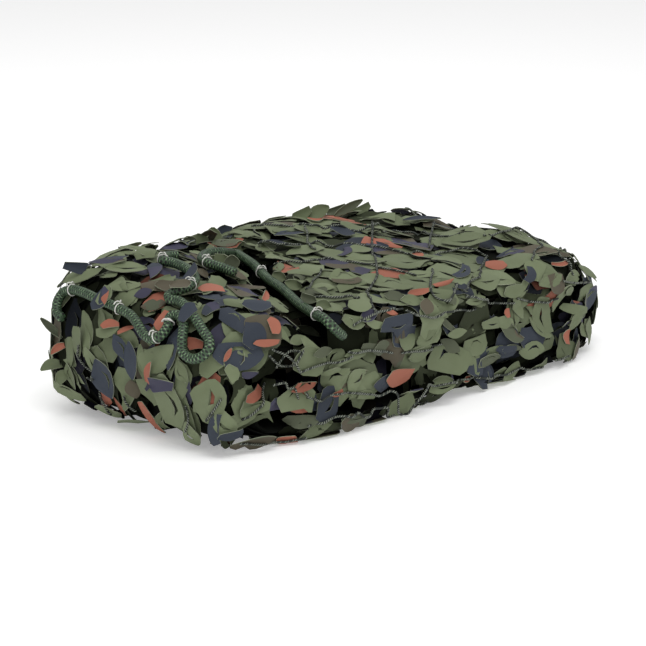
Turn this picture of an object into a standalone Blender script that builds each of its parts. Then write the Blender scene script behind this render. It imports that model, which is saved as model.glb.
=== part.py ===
"""A garnished camouflage net, folded to a flat bundle.

X runs along the bundle, Y across it and Z up.  The origin is under the middle
of the bundle, on the surface it lies on.  Everything is in metres.

The cloth is one strip of net and scrim, four layers deep: it starts at the free
end of the top layer, turns down at the right end, runs back along the bottom,
turns up at the left, runs right and turns back once more, and its other free
end hangs over the left end of the bundle.
"""

import math
import random
from collections import namedtuple

import bmesh
import bpy
from mathutils import Matrix, Vector
from mathutils.bvhtree import BVHTree

# ---------------------------------------------------------------- sizes
HALF_LENGTH = 0.286        # bundle, without its leaf tips
HALF_WIDTH = 0.155
PLY = 0.0290               # a layer that others press on
TOP_PLY = 0.035            # the top layer, which is loose
PLY_GAP = 0.0035           # air between two layers
FREE_END_X = -0.098        # where the top layer ends, on the middle line
FREE_END_SLANT = 0.45      # that end runs askew: metres of X for a metre of Y
SLANT_REACH = 0.24         # the slant fades out over this much of the layer
PLAN_ROUNDING = 0.30       # share of the width that is gone at the very ends
PLAN_POWER = 4             # how late that sets in

MERGE = 0.00002            # points nearer than this are one
FINE_STEP = 0.022          # faces of the cloth that shows
COARSE_STEP = 0.044        # faces of the layers inside
FACES_ACROSS = 15          # over a layer, from one side to the other
FACES_ROUND_SIDE = 2

HANG_END_Z = 0.012         # the lower free end hangs to this height
HANG_SHARES = (0, 0.5, 1)
END_TAPER = (0.0, 0.62, 0.88)  # share of its thickness that a free end has at its first stations
LUMP = 0.0040              # how far the cloth's relief rises and falls
SHELF_RISE = 0.036         # the third layer swells this far where the top one leaves it free
SHELF_START = 0.012        # it starts to this far from the end of the top layer
SHELF_REACH = 0.055        # and takes this much of its length to do so at the front
SHELF_BACK_REACH = 0.020   # and this much at the back
FLOOR_REACH = 0.030        # the floor holds the cloth in up to this height
CROWN = 0.006              # the top layer stands higher in its middle
SHARP_SIDE = 0.30          # share of a layer's half thickness that is gone at its sides
TOP_SHARP_SIDE = 0.75      # the same on the face of the top layer
SIDE_POWER = 5             # how late that thinning sets in
FLOOR_SIDE_POWER = 11      # later on the face that lies on the floor
FACE_SHARE = 0.965         # width of a layer's faces, of the width at the middle of its sides
INSIDE_SHARE = 0.955       # width of the layers inside, of the others' width
SIDE_WAVE = 0.025          # the sides waver by this share of the width
SIDE_WAVE_TURN = 27        # radians of that wave in a metre
SIDE_WAVE_SHIFT = 1.9      # and from one layer to the next
FALL_ALONG = 0.14          # the bundle is this share lower at its right end than in the middle
RISE_ACROSS = 0.10         # and this share higher at its back

LEAF_LENGTHS = (0.044, 0.058)
LEAF_ROOT = (0.015, 0.004)     # width and thickness where it leaves the cloth
LEAF_MIDDLE = (0.034, 0.0030)
LEAF_TIP = (0.015, 0.0018)
LEAF_LIFTS = (30, 2)           # degrees off the cloth, before and after its bend
LEAF_SPARE = 0.0009            # air kept round a leaf when it is placed
LEAF_OFF_FLOOR = 0.002
LEAF_LEAST_Z = 0.030           # no leaf that hangs starts lower than this
LEFT_LEAF_LEAST_Z = 0.055      # the same at the sides of the left end
SHELF_LEAVES_OFF = 0.045       # the third layer has leaves from this far off the end of the top one
LEAF_BEND = 0.48               # share of its length that lies before its bend
LEAF_SLIP = 0.35               # a twisted leaf's tip slips aside by this share of twist and length
LEAF_INSET = 0.003             # its root stands in from the edges of its face
LEAF_LEAST_SIZE = 0.6          # on the smallest faces
LEAF_EDGE = 0.035              # a leaf this near the edge of the top droops
LEAF_CLEAR_SHARES = (0.12, 0.4)  # of the way to its bend: where it is off its own face, and off all
LEAF_LEAST_FACE = 0.0085       # the shortest side of a face that carries a leaf
LEAF_TRIES = (                 # share of the length, share of the twist, degrees it is turned by
    (1.0, 1, 0), (0.9, -1, 28), (0.9, 1, -28), (0.75, 0, 0), (0.7, 0, 40), (0.7, 0, -40), (0.55, 0, 0),
)
MOST_LEAVES = 215
EDGE_DROOP = 1.3               # a leaf at the edge of the top turns down over it this steeply
LEAF_OFF_ROPE = 0.014          # from the rope's middle line
LEAF_SEED = 11

CORD = 0.004               # net cord, across
CORD_LIFT = 0.0012         # its gap to the cloth
CELL_FACES = 4             # one mesh of the net spans this many faces, corner to corner
CORDS_FROM = 5.0           # the net shows between these two stations
CORDS_TO = 22.6
CORDS_MIDDLE = (16.5, 6.5) # station and face across that one knot of the net lies on
CORDS_OVER = 0.9           # faces by which the net may reach past the cloth's sides
CORD_CELLS = 16            # meshes each way, before the net is cut to the folds it shows on

ROPE = 0.010               # border rope, across
ROPE_LIFT = 0.0034         # leaves room for the lashing under it
ROPE_STEP = 0.011
LAYING_ROUNDS = 12         # each lifts the rope out of the cloth a little more
CURVE_POINTS = 12          # worked out between two points of a route
BEHIND_EDGE = -0.7         # a place off a sharp edge may lie this far behind the nearest face
LASHING = 0.0022           # lashing twine, across
LASHING_GAP = 0.0004

OLIVE = (0.145, 0.180, 0.090, 1)
CORD_GREEN = (0.050, 0.075, 0.050, 1)
ROPE_GREEN = (0.060, 0.100, 0.060, 1)
TWINE_WHITE = (0.800, 0.800, 0.770, 1)

# ---------------------------------------------------------------- worked out from them
STACK_STEP = PLY + PLY_GAP
LAYER_1_Z = PLY / 2
LAYER_2_Z = LAYER_1_Z + STACK_STEP
LAYER_3_Z = LAYER_2_Z + STACK_STEP
LAYER_4_Z = LAYER_3_Z + PLY / 2 + PLY_GAP + TOP_PLY / 2
INNER_TURN = STACK_STEP / 2                    # radius of a turn on its middle line
OUTER_TURN_Z = (LAYER_4_Z - LAYER_1_Z) / 2
OUTER_TURN_X = 0.055
OUTER_TURN_POWER = 2.5                         # 2 is an ellipse, and more is nearer a box
END_TURN_POWER = 2.6
OUTER_TURN_ROWS, INNER_TURN_ROWS, END_TURN_ROWS = 10, 5, 6
RIGHT_TURN_X = HALF_LENGTH - TOP_PLY / 2 - OUTER_TURN_X
INNER_RIGHT_X = HALF_LENGTH - TOP_PLY - PLY_GAP - PLY / 2 - INNER_TURN
OVERHANG = INNER_TURN + PLY / 2 + PLY_GAP + PLY / 2
LEFT_TURN_X = -HALF_LENGTH + PLY / 2 + OVERHANG
TOP_POINTS = FACES_ACROSS + 1
RING = 2 * (FACES_ACROSS + FACES_ROUND_SIDE)

Station = namedtuple("Station", "x z nx nz half layer fine")


def blank_scene():
    for thing in list(bpy.data.objects):
        bpy.data.objects.remove(thing, do_unlink=True)


def finish(name, colour, roughness):
    material = bpy.data.materials.new(name)
    material.use_nodes = True
    shader = material.node_tree.nodes["Principled BSDF"]
    shader.inputs["Base Color"].default_value = colour
    shader.inputs["Roughness"].default_value = roughness
    shader.inputs["Metallic"].default_value = 0.0
    material.diffuse_color = colour
    return material


def ease(value):
    """A smooth step from 0 to 1."""
    value = min(max(value, 0.0), 1.0)
    return value * value * (3 - 2 * value)


# ---------------------------------------------------------------- the fold, seen from the side
def straight(start_x, end_x, z, half, layer, step):
    """Stations along a flat layer; the normal points to the left of the way it runs."""
    fine = step == FINE_STEP
    count = max(1, round(abs(end_x - start_x) / step))
    side = 1 if end_x > start_x else -1
    for i in range(count):
        yield Station(start_x + (end_x - start_x) * i / count, z, 0, side, half, layer, fine)


def bent(centre, radii, start, end, halves, layer, count, power=2.0, fine=False):
    """Stations round a turn: a part of a rounded box, with angles in degrees from +X."""
    turn_side = 1 if end < start else -1
    for i in range(count):
        share = i / count
        angle = math.radians(start + (end - start) * share)
        c, s = math.cos(angle), math.sin(angle)
        x = math.copysign(abs(c) ** (2 / power), c) * radii[0]
        z = math.copysign(abs(s) ** (2 / power), s) * radii[1]
        nx = math.copysign(abs(c) ** (2 - 2 / power), c) / radii[0]
        nz = math.copysign(abs(s) ** (2 - 2 / power), s) / radii[1]
        size = math.hypot(nx, nz) * turn_side
        half = halves[0] + (halves[1] - halves[0]) * share
        yield Station(centre[0] + x, centre[1] + z, nx / size, nz / size, half, layer, fine)


def fold_stations():
    """The strip's middle line, from the free end of the top layer to the other end."""
    top, pressed = TOP_PLY / 2, PLY / 2
    rows = []
    rows += straight(FREE_END_X, RIGHT_TURN_X, LAYER_4_Z, top, 4, FINE_STEP)
    rows += bent((RIGHT_TURN_X, (LAYER_4_Z + LAYER_1_Z) / 2), (OUTER_TURN_X, OUTER_TURN_Z),
                 90, -90, (top, pressed), 5, OUTER_TURN_ROWS, OUTER_TURN_POWER, True)
    rows += straight(RIGHT_TURN_X, LEFT_TURN_X, LAYER_1_Z, pressed, 1, COARSE_STEP)
    rows += bent((LEFT_TURN_X, (LAYER_1_Z + LAYER_2_Z) / 2), (INNER_TURN, INNER_TURN),
                 270, 90, (pressed, pressed), 6, INNER_TURN_ROWS)
    rows += straight(LEFT_TURN_X, INNER_RIGHT_X, LAYER_2_Z, pressed, 2, COARSE_STEP)
    rows += bent((INNER_RIGHT_X, (LAYER_2_Z + LAYER_3_Z) / 2), (INNER_TURN, INNER_TURN),
                 -90, 90, (pressed, pressed), 7, INNER_TURN_ROWS)
    rows += straight(INNER_RIGHT_X, 0.0, LAYER_3_Z, pressed, 3, COARSE_STEP)
    rows += straight(0.0, LEFT_TURN_X, LAYER_3_Z, pressed, 3, FINE_STEP)
    rows += bent((LEFT_TURN_X, INNER_TURN + PLY / 2), (OVERHANG, OVERHANG),
                 90, 180, (pressed, pressed), 8, END_TURN_ROWS, END_TURN_POWER, True)
    hang_x, hang_z = LEFT_TURN_X - OVERHANG, INNER_TURN + PLY / 2
    for share in HANG_SHARES:
        z = hang_z + (HANG_END_Z - hang_z) * share
        rows.append(Station(hang_x, z, 1, 0, pressed, 8, True))
    return rows


def taper_ends(rows):
    """Closes both free ends: the last stations thin out to an edge."""
    for i, share in enumerate(END_TAPER):
        rows[i] = rows[i]._replace(half=rows[i].half * share)
        rows[-1 - i] = rows[-1 - i]._replace(half=rows[-1 - i].half * share)
    return rows


STATIONS = taper_ends(fold_stations())


# ---------------------------------------------------------------- the fold as a surface
def free_end(y):
    return FREE_END_X + FREE_END_SLANT * y


def plan_half(x):
    return HALF_WIDTH * (1 - PLAN_ROUNDING * min(abs(x) / HALF_LENGTH, 1.05) ** PLAN_POWER)


def relief(x, y, z):
    """Soft lumps of the cloth, from -1 to 1."""
    a = math.sin(33 * x + 18 * y + 1.3) * math.cos(30 * y - 14 * x + 28 * z)
    b = math.sin(46 * y + 15 * x + 2.1 + 35 * z)
    return 0.65 * a + 0.35 * b


def shows(station, outer, x, y):
    """How much a face of the strip is free to swell: 0 where a layer or the floor presses on it."""
    if station.layer in (4, 5) and outer:
        return 1.0 if station.layer == 4 else ease((station.z - LAYER_1_Z) / FLOOR_REACH)
    if station.layer == 8 and not outer:
        return ease((station.z - HANG_END_Z) / FLOOR_REACH)
    if station.layer == 3 and not outer:
        share = ease((y / HALF_WIDTH + 1) / 2)
        reach = SHELF_REACH + (SHELF_BACK_REACH - SHELF_REACH) * share
        return ease((free_end(y) - SHELF_START - x) / reach)
    return 0.0


def ring_place(index):
    """Where a point of the ring sits: its share of the half width, and which face it is on."""
    if index < TOP_POINTS:
        return -1 + 2 * index / FACES_ACROSS, 1
    if index == TOP_POINTS:
        return 1.0, 0
    if index <= 2 * TOP_POINTS:
        return 1 - 2 * (index - TOP_POINTS - 1) / FACES_ACROSS, -1
    return -1.0, 0


def swell(station, across, x, y):
    """How far a free face stands out from the pressed one."""
    size = LUMP * relief(x, y, station.z)
    if station.layer in (3, 8):
        size += SHELF_RISE * (1 - 0.35 * abs(across) ** 4) * abs(station.nz) ** 0.7
    if station.layer == 4:
        high = math.cos(2 * (x + 0.05) / HALF_LENGTH)
        size += CROWN * high * (0.75 + 0.45 * across) * (1 - abs(across) ** 6)
    return size


def cloth_point(i, j):
    """The strip's surface at station i and ring point j."""
    station = STATIONS[i]
    across, face = ring_place(j % RING)
    width = plan_half(station.x)
    width *= 1 + SIDE_WAVE * math.sin(SIDE_WAVE_TURN * station.x + SIDE_WAVE_SHIFT * station.layer)
    if station.layer in (2, 7) or (station.layer == 3 and not station.fine):
        width *= INSIDE_SHARE
    x = station.x
    if station.layer in (4, 5):
        fade = 1 - ease((x - FREE_END_X) / SLANT_REACH)
        x += FREE_END_SLANT * across * width * fade
    y = across * width * (FACE_SHARE if face or not station.half else 1)
    out = face or (1 if station.layer in (4, 5) else -1)
    free = shows(station, out > 0, x, y) if station.half else 0
    stand = free * swell(station, across, x, y)
    if face:
        lost = TOP_SHARP_SIDE if station.layer == 4 and face > 0 else SHARP_SIDE
        power = FLOOR_SIDE_POWER if station.layer == 1 and face > 0 else SIDE_POWER
        stand += station.half * (1 - lost * abs(across) ** power)
    else:
        stand *= 0.5
    place = Vector((x + station.nx * out * stand, y, station.z + station.nz * out * stand))
    place.z *= 1 - FALL_ALONG * place.x / HALF_LENGTH + RISE_ACROSS * place.y / HALF_WIDTH
    return place


def cloth_surface(i, j):
    """The surface between its points, and which way it faces there."""
    i = min(max(i, 0.0), len(STATIONS) - 1.001)
    i0, j0 = int(math.floor(i)), int(math.floor(j))
    u, v = i - i0, j - j0
    a, b = cloth_point(i0, j0), cloth_point(i0 + 1, j0)
    c, d = cloth_point(i0 + 1, j0 + 1), cloth_point(i0, j0 + 1)
    place = a * (1 - u) * (1 - v) + b * u * (1 - v) + c * u * v + d * (1 - u) * v
    along = (b - a) * (1 - v) + (c - d) * v
    across = (d - a) * (1 - u) + (c - b) * u
    return place, along.cross(across).normalized()


def folded_cloth():
    """A flat grid, one row for each station, wrapped round the strip and sewn shut."""
    rows, cols = len(STATIONS), RING
    bm = bmesh.new()
    bmesh.ops.create_grid(bm, x_segments=rows - 1, y_segments=cols, size=0.5)
    for vert in bm.verts:
        i = round((vert.co.x + 0.5) * (rows - 1))
        j = round((vert.co.y + 0.5) * cols)
        vert.co = cloth_point(i, j)
    bmesh.ops.remove_doubles(bm, verts=bm.verts, dist=MERGE)
    bmesh.ops.dissolve_degenerate(bm, edges=bm.edges, dist=MERGE)
    bmesh.ops.recalc_face_normals(bm, faces=bm.faces)
    bm.normal_update()
    bm.faces.index_update()
    bm.faces.ensure_lookup_table()
    return bm


# ---------------------------------------------------------------- leaves of scrim
def leaf_direction(i, j):
    """Which way a leaf on this face leans, or None where none grows."""
    station = STATIONS[i]
    on_top, on_back = j < FACES_ACROSS, TOP_POINTS < j < 2 * TOP_POINTS
    if station.layer == 4 and on_top:
        return Vector((0, -1 if j < FACES_ACROSS / 2 else 1, -0.1))
    if station.layer == 5 and on_top and station.z > LEAF_LEAST_Z:
        return Vector((-station.nz, 0, station.nx)) * -1
    if station.layer in (3, 8) and on_back:
        middle = cloth_surface(i + 0.5, j + 0.5)[0]
        if station.layer == 8 or middle.x < free_end(middle.y) - SHELF_LEAVES_OFF:
            return Vector((-1, 0, 0)) if station.layer == 3 else Vector((-0.25, 0, -1))
        return None
    if on_top or on_back:
        return None
    lowest = LEFT_LEAF_LEAST_Z if station.layer == 8 else LEAF_LEAST_Z
    if station.layer in (2, 3, 4, 5, 8) and station.z > lowest:
        return Vector((0.25, 0, -1))
    if station.layer in (1, 6):
        return Vector((1, 0, 0.1))
    return None


def leaf_outline(centre, normal, lean, size, length, twist, droop):
    """Middles and sizes of the leaf's three cross cuts: root, bend and tip."""
    across = normal.cross(lean)
    side = (across + lean * twist).normalized()
    first, second = (math.radians(a) for a in LEAF_LIFTS)
    bend = centre + length * LEAF_BEND * (lean * math.cos(first) + normal * math.sin(first))
    onward = lean * math.cos(second) + normal * math.sin(second) - Vector((0, 0, droop))
    slip = side * twist * length * LEAF_SLIP
    tip = bend + length * (1 - LEAF_BEND) * onward.normalized() - slip
    under = lean * math.sin(first) - normal * math.cos(first)
    root, middle, end = ([measure * size for measure in cut] for cut in (LEAF_ROOT, LEAF_MIDDLE, LEAF_TIP))
    return [(centre, root, across, lean), (bend, middle, side, under), (tip, end, side, under)]


def corners_of(cut, spare=0.0):
    """The four corners of a cross cut, in the order in which a face's own corners run."""
    place, (width, thick), side, way = cut
    across, through = side * (width / 2 + spare), way * (thick / 2 + spare)
    return [place + across * a + through * b for a, b in ((-1, 1), (1, 1), (1, -1), (-1, -1))]


def set_cut(face, cut):
    """Moves the corners of a face to a cross cut of the leaf, each to the one that it points at."""
    verts = [loop.vert for loop in face.loops]
    middle = sum((v.co for v in verts), Vector()) / 4
    corners = corners_of(cut)

    def match(turn):
        return sum((v.co - middle).dot(corners[(k + turn) % 4] - cut[0]) for k, v in enumerate(verts))

    turn = max(range(4), key=match)
    for k, vert in enumerate(verts):
        vert.co = corners[(k + turn) % 4]


def grow_leaf(bm, face, cuts):
    """Draws the face out through the leaf's cross cuts."""
    bmesh.ops.inset_individual(bm, faces=[face], thickness=LEAF_INSET)
    set_cut(face, cuts[0])
    for cut in cuts[1:]:
        face = bmesh.ops.extrude_discrete_faces(bm, faces=[face])["faces"][0]
        set_cut(face, cut)


def leaf_hull(cuts, spare=0.0, start=0.0):
    """A leaf's closed shape with some air round it, from a share of the way to its bend."""
    root, bend = cuts[:2]
    if start:
        root = root[0].lerp(bend[0], start), root[1], bend[2], bend[3]
    corners = []
    for cut in (root, *cuts[1:]):
        corners += corners_of(cut, spare)
    faces = [(3, 2, 1, 0), (8, 9, 10, 11)]
    for k in (0, 4):
        faces += [(k + m, k + (m + 1) % 4, k + 4 + (m + 1) % 4, k + 4 + m) for m in range(4)]
    return corners, BVHTree.FromPolygons(corners, faces)


def leaf_plans(bm, cords, rope_points):
    """Chooses the leaves: none touches the ropes, the cords, the cloth, the floor or another leaf."""
    rng = random.Random(LEAF_SEED)
    cloth = BVHTree.FromBMesh(bm)
    places = [(i, j) for i in range(1, len(STATIONS) - 3) for j in range(RING) if leaf_direction(i, j)]
    rng.shuffle(places)
    roots, taken, plans = set(), [], []
    for i, j in places:
        lean = leaf_direction(i, j)
        twist, length = rng.uniform(-0.5, 0.5), rng.uniform(*LEAF_LENGTHS)
        face = bm.faces[cloth.find_nearest(cloth_surface(i + 0.5, j + 0.5)[0])[2]]
        beside = {near for edge in face.edges for near in edge.link_faces}
        shortest = min(edge.calc_length() for edge in face.edges)
        if len(face.verts) != 4 or shortest < LEAF_LEAST_FACE or beside & roots:
            continue
        around = {near.index for vert in face.verts for near in vert.link_faces}
        middle, normal = face.calc_center_median(), face.normal.copy()
        lean = (lean - normal * lean.dot(normal)).normalized()
        size = min(1, max(LEAF_LEAST_SIZE, math.sqrt(face.calc_area()) / FINE_STEP))
        over_edge = abs(middle.y) + LEAF_EDGE > plan_half(middle.x) and normal.z > 0.3
        droop = EDGE_DROOP if over_edge else 0.0
        for share, twisted, turned in LEAF_TRIES:
            if turned and abs(normal.z) < 0.5:
                continue
            way = Matrix.Rotation(math.radians(turned), 3, normal) @ lean
            cuts = leaf_outline(middle, normal, way, size, size * length * share, twist * twisted, droop)
            corners, whole = leaf_hull(cuts, LEAF_SPARE)
            bare = leaf_hull(cuts)[1]
            near_root, outer = (leaf_hull(cuts, LEAF_SPARE, off)[1] for off in LEAF_CLEAR_SHARES)
            if (min(p.z for p in corners[4:]) > LEAF_OFF_FLOOR
                    and all(other == face.index for _, other in bare.overlap(cloth))
                    and all(other in around for _, other in near_root.overlap(cloth))
                    and not outer.overlap(cloth) and not whole.overlap(cords)
                    and not any(whole.overlap(other) for other in taken)
                    and all((p - q).length > LEAF_OFF_ROPE for p in corners for q in rope_points)):
                roots.add(face)
                taken.append(whole)
                plans.append((face, cuts))
                break
        if len(plans) == MOST_LEAVES:
            break
    return plans


# ---------------------------------------------------------------- the net's cords
def net_cords():
    """A flat square mesh turned to diamonds, in steps of the cloth's faces, then laid on it."""
    cell = CELL_FACES / math.sqrt(2)
    reach = CELL_FACES / 2
    bm = bmesh.new()
    bmesh.ops.create_grid(bm, x_segments=CORD_CELLS, y_segments=CORD_CELLS, size=CORD_CELLS * cell / 2)
    turned = Matrix.Translation((*CORDS_MIDDLE, 0)) @ Matrix.Rotation(math.radians(45), 4, "Z")
    bmesh.ops.transform(bm, matrix=turned, verts=bm.verts)
    outside = []
    for face in bm.faces:
        middle = face.calc_center_median()
        along = CORDS_FROM + reach < middle.x < CORDS_TO - reach
        if not along or not reach - CORDS_OVER < middle.y < FACES_ACROSS + CORDS_OVER - reach:
            outside.append(face)
    bmesh.ops.delete(bm, geom=outside, context="FACES")
    cells = list(bm.faces)
    bmesh.ops.inset_individual(bm, faces=cells, thickness=CORD / 2 / FINE_STEP)
    bmesh.ops.delete(bm, geom=cells, context="FACES_ONLY")
    long_sides = [e for e in bm.edges if e.calc_length() > cell / 2]
    bmesh.ops.subdivide_edges(bm, edges=long_sides, cuts=3, use_grid_fill=True)
    for vert in bm.verts:
        place, normal = cloth_surface(vert.co.x, vert.co.y)
        vert.co = place + normal * CORD_LIFT
    bmesh.ops.recalc_face_normals(bm, faces=bm.faces)
    bmesh.ops.solidify(bm, geom=bm.faces, thickness=-CORD)
    bmesh.ops.recalc_face_normals(bm, faces=bm.faces)
    return bm


# ---------------------------------------------------------------- border rope
# Routes chosen by hand; each point is then set on the cloth nearest to it.
UPPER_ROUTE = [
    (-0.168, -0.022, 0.147), (-0.169, -0.001, 0.150), (-0.170, 0.014, 0.151),
    (-0.158, 0.035, 0.150), (-0.133, 0.053, 0.148), (-0.110, 0.056, 0.145), (-0.066, 0.080, 0.132),
    (-0.075, 0.056, 0.132), (-0.086, 0.031, 0.131), (-0.097, 0.011, 0.129), (-0.109, -0.013, 0.127),
    (-0.124, -0.046, 0.126), (-0.142, -0.081, 0.123), (-0.153, -0.105, 0.122),
    (-0.164, -0.132, 0.121), (-0.169, -0.153, 0.116), (-0.152, -0.153, 0.103),
]
LOWER_ROUTE = [
    (-0.174, 0.054, 0.153), (-0.185, 0.055, 0.155), (-0.204, 0.044, 0.157), (-0.211, 0.032, 0.157),
    (-0.207, 0.024, 0.156), (-0.211, 0.000, 0.154), (-0.222, -0.021, 0.152),
    (-0.240, -0.034, 0.149), (-0.255, -0.034, 0.147), (-0.263, -0.028, 0.143),
    (-0.269, -0.030, 0.141), (-0.267, -0.043, 0.141), (-0.270, -0.056, 0.138),
    (-0.277, -0.073, 0.134), (-0.281, -0.086, 0.128), (-0.284, -0.098, 0.120),
    (-0.286, -0.106, 0.114), (-0.292, -0.108, 0.107), (-0.296, -0.101, 0.100),
    (-0.299, -0.092, 0.099), (-0.299, -0.084, 0.102), (-0.297, -0.080, 0.110),
    (-0.292, -0.075, 0.118), (-0.286, -0.071, 0.124), (-0.282, -0.065, 0.129),
    (-0.281, -0.057, 0.132), (-0.282, -0.051, 0.131), (-0.286, -0.050, 0.126),
    (-0.290, -0.053, 0.121), (-0.295, -0.053, 0.116), (-0.298, -0.048, 0.111),
    (-0.299, -0.038, 0.108), (-0.298, -0.027, 0.111), (-0.295, -0.016, 0.118),
    (-0.291, -0.001, 0.124), (-0.290, 0.017, 0.127), (-0.289, 0.033, 0.129), (-0.288, 0.053, 0.131),
    (-0.285, 0.071, 0.132), (-0.282, 0.092, 0.131), (-0.282, 0.106, 0.125), (-0.288, 0.107, 0.118),
    (-0.294, 0.101, 0.108), (-0.297, 0.091, 0.105),
]
UPPER_TIES = (0.08, 0.547, 0.902)
LOWER_TIES = (0.06, 0.226, 0.615, 0.66, 0.775, 0.913)


def through(points, step):
    """Points a step apart on a smooth curve through the given ones."""
    padded = [points[0], *points, points[-1]]
    dense = []
    for a, b, c, d in zip(padded, padded[1:], padded[2:], padded[3:]):
        for k in range(CURVE_POINTS):
            t = k / CURVE_POINTS
            dense.append(0.5 * (2 * b + (c - a) * t + (2 * a - 5 * b + 4 * c - d) * t * t
                                + (3 * b - a - 3 * c + d) * t ** 3))
    dense.append(points[-1])
    length = sum((q - p).length for p, q in zip(dense, dense[1:]))
    count = round(length / step)
    out, walked, want = [dense[0]], 0.0, length / count
    for p, q in zip(dense, dense[1:]):
        gap = (q - p).length
        while walked + gap >= want - 1e-9 and len(out) < count + 1:
            out.append(p.lerp(q, (want - walked) / gap if gap else 0))
            want += length / count
        walked += gap
    return out


def laid_rope(route, cloth):
    """The rope's middle line, which rests on the cloth from end to end."""
    above = ROPE / 2 + ROPE_LIFT

    def rested(point, only_up=False):
        near, normal, _, gap = cloth.find_nearest(point)
        outside = (point - near).normalized().dot(normal) > BEHIND_EDGE
        if only_up and outside and gap >= above:
            return point
        way = (point - near).normalized() if outside and gap > ROPE_LIFT else normal
        return near + way * above

    line = through([rested(Vector(place)) for place in route], ROPE_STEP)
    for _ in range(LAYING_ROUNDS):
        line = [rested(point, True) for point in line]
        for k in range(len(line) - 1):
            middle = (line[k] + line[k + 1]) / 2
            push = rested(middle, True) - middle
            line[k] += push / 2
            line[k + 1] += push / 2
    return line


def rope_piece(name, line, material):
    curve = bpy.data.curves.new(name, "CURVE")
    curve.dimensions = "3D"
    curve.bevel_depth = ROPE / 2
    curve.bevel_resolution = 2
    curve.use_fill_caps = True
    spline = curve.splines.new("POLY")
    spline.points.add(len(line) - 1)
    for point, place in zip(spline.points, line):
        point.co = (*place, 1)
    curve.materials.append(material)
    return bpy.data.objects.new(name, curve)


def lashing(name, place, along, material):
    """One ring of twine round the rope."""
    middle = ROPE / 2 + LASHING_GAP + LASHING / 2
    bpy.ops.mesh.primitive_torus_add(major_radius=middle, minor_radius=LASHING / 2,
                                     major_segments=12, minor_segments=4)
    ring = bpy.context.object
    ring.name = name
    ring.data.name = name
    ring.location = place
    ring.rotation_mode = "QUATERNION"
    ring.rotation_quaternion = along.to_track_quat("Z", "X")
    ring.data.materials.append(material)
    for home in list(ring.users_collection):
        home.objects.unlink(ring)
    return ring


def mesh_piece(name, bm, material):
    mesh = bpy.data.meshes.new(name)
    bm.to_mesh(mesh)
    bm.free()
    mesh.materials.append(material)
    return bpy.data.objects.new(name, mesh)


def stand_centred(pieces):
    """Moves the pieces together, until the middle of their box is over the origin."""
    bpy.context.view_layer.update()
    seen = bpy.context.evaluated_depsgraph_get()
    corners = []
    for piece in pieces:
        body = piece.evaluated_get(seen).to_mesh()
        corners += [piece.matrix_world @ vert.co for vert in body.vertices]
    for axis in (0, 1):
        middle = (min(c[axis] for c in corners) + max(c[axis] for c in corners)) / 2
        for piece in pieces:
            piece.location[axis] -= middle


def main():
    blank_scene()
    bundle = bpy.data.collections.new("folded_net")
    bpy.context.scene.collection.children.link(bundle)

    bm = folded_cloth()
    cloth = BVHTree.FromBMesh(bm)
    upper = laid_rope(UPPER_ROUTE, cloth)
    lower = laid_rope(LOWER_ROUTE, cloth)
    cords = net_cords()
    for face, cuts in leaf_plans(bm, BVHTree.FromBMesh(cords), upper + lower):
        grow_leaf(bm, face, cuts)
    bundle.objects.link(mesh_piece("net_body", bm, finish("scrim cloth", OLIVE, 0.7)))

    bundle.objects.link(mesh_piece("net_mesh", cords, finish("net cord", CORD_GREEN, 0.8)))

    braid = finish("border braid", ROPE_GREEN, 0.75)
    twine = finish("lashing twine", TWINE_WHITE, 0.8)
    number = 0
    ropes = (("edge_rope_upper", upper, UPPER_TIES), ("edge_rope_lower", lower, LOWER_TIES))
    for name, line, ties in ropes:
        bundle.objects.link(rope_piece(name, line, braid))
        for share in ties:
            k = round(share * (len(line) - 2))
            number += 1
            middle, along = (line[k] + line[k + 1]) / 2, line[k + 1] - line[k]
            bundle.objects.link(lashing(f"tie_{number:02d}", middle, along, twine))
    stand_centred(bundle.objects)


main()
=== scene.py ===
# %% [markdown]
# # A camouflage net, folded to a bundle
# The real thing is a knotted mesh of cord with printed scrim cloth sewn to it.  The scrim
# is cut into leaves, so that it breaks up in the wind like foliage.  Folded, it makes a
# flat bundle in which thousands of leaves lie over each other every way, with the net's
# cords and a braided border rope running over them.
#
# The plan: load the solid model as a fixed frame, rebuild its fold as thin cloth painted
# nearly black as shade, then heap leaves on that cloth in courses, each leaf resting on
# those that lie there already.  Cords, rope and lashings go on top.

import math
import random
from collections import namedtuple
from itertools import product

import bmesh
import bpy
import numpy as np
from mathutils import Matrix, Vector
from mathutils.bvhtree import BVHTree
from mathutils.kdtree import KDTree


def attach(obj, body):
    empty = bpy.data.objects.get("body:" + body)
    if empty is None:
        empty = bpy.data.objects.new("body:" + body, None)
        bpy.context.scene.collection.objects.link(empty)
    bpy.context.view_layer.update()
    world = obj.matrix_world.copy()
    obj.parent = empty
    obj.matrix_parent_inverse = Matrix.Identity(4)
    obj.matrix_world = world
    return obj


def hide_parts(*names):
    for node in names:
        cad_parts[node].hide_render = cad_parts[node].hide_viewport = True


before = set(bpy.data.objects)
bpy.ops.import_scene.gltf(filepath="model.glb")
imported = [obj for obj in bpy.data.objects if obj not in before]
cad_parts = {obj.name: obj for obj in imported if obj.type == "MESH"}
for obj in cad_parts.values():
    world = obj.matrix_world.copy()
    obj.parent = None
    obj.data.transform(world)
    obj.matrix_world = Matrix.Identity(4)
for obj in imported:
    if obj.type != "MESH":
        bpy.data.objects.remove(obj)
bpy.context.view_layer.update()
print("the frame holds", len(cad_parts), "solids")

# %% [markdown]
# ## The camera
# It comes first, because some leaves and cords are placed by where they show in its view.
# A long lens a few metres away flattens the bundle, as in a catalogue.  The view is 646
# points each way, and sight() turns one of its points into a line of sight.

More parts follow.
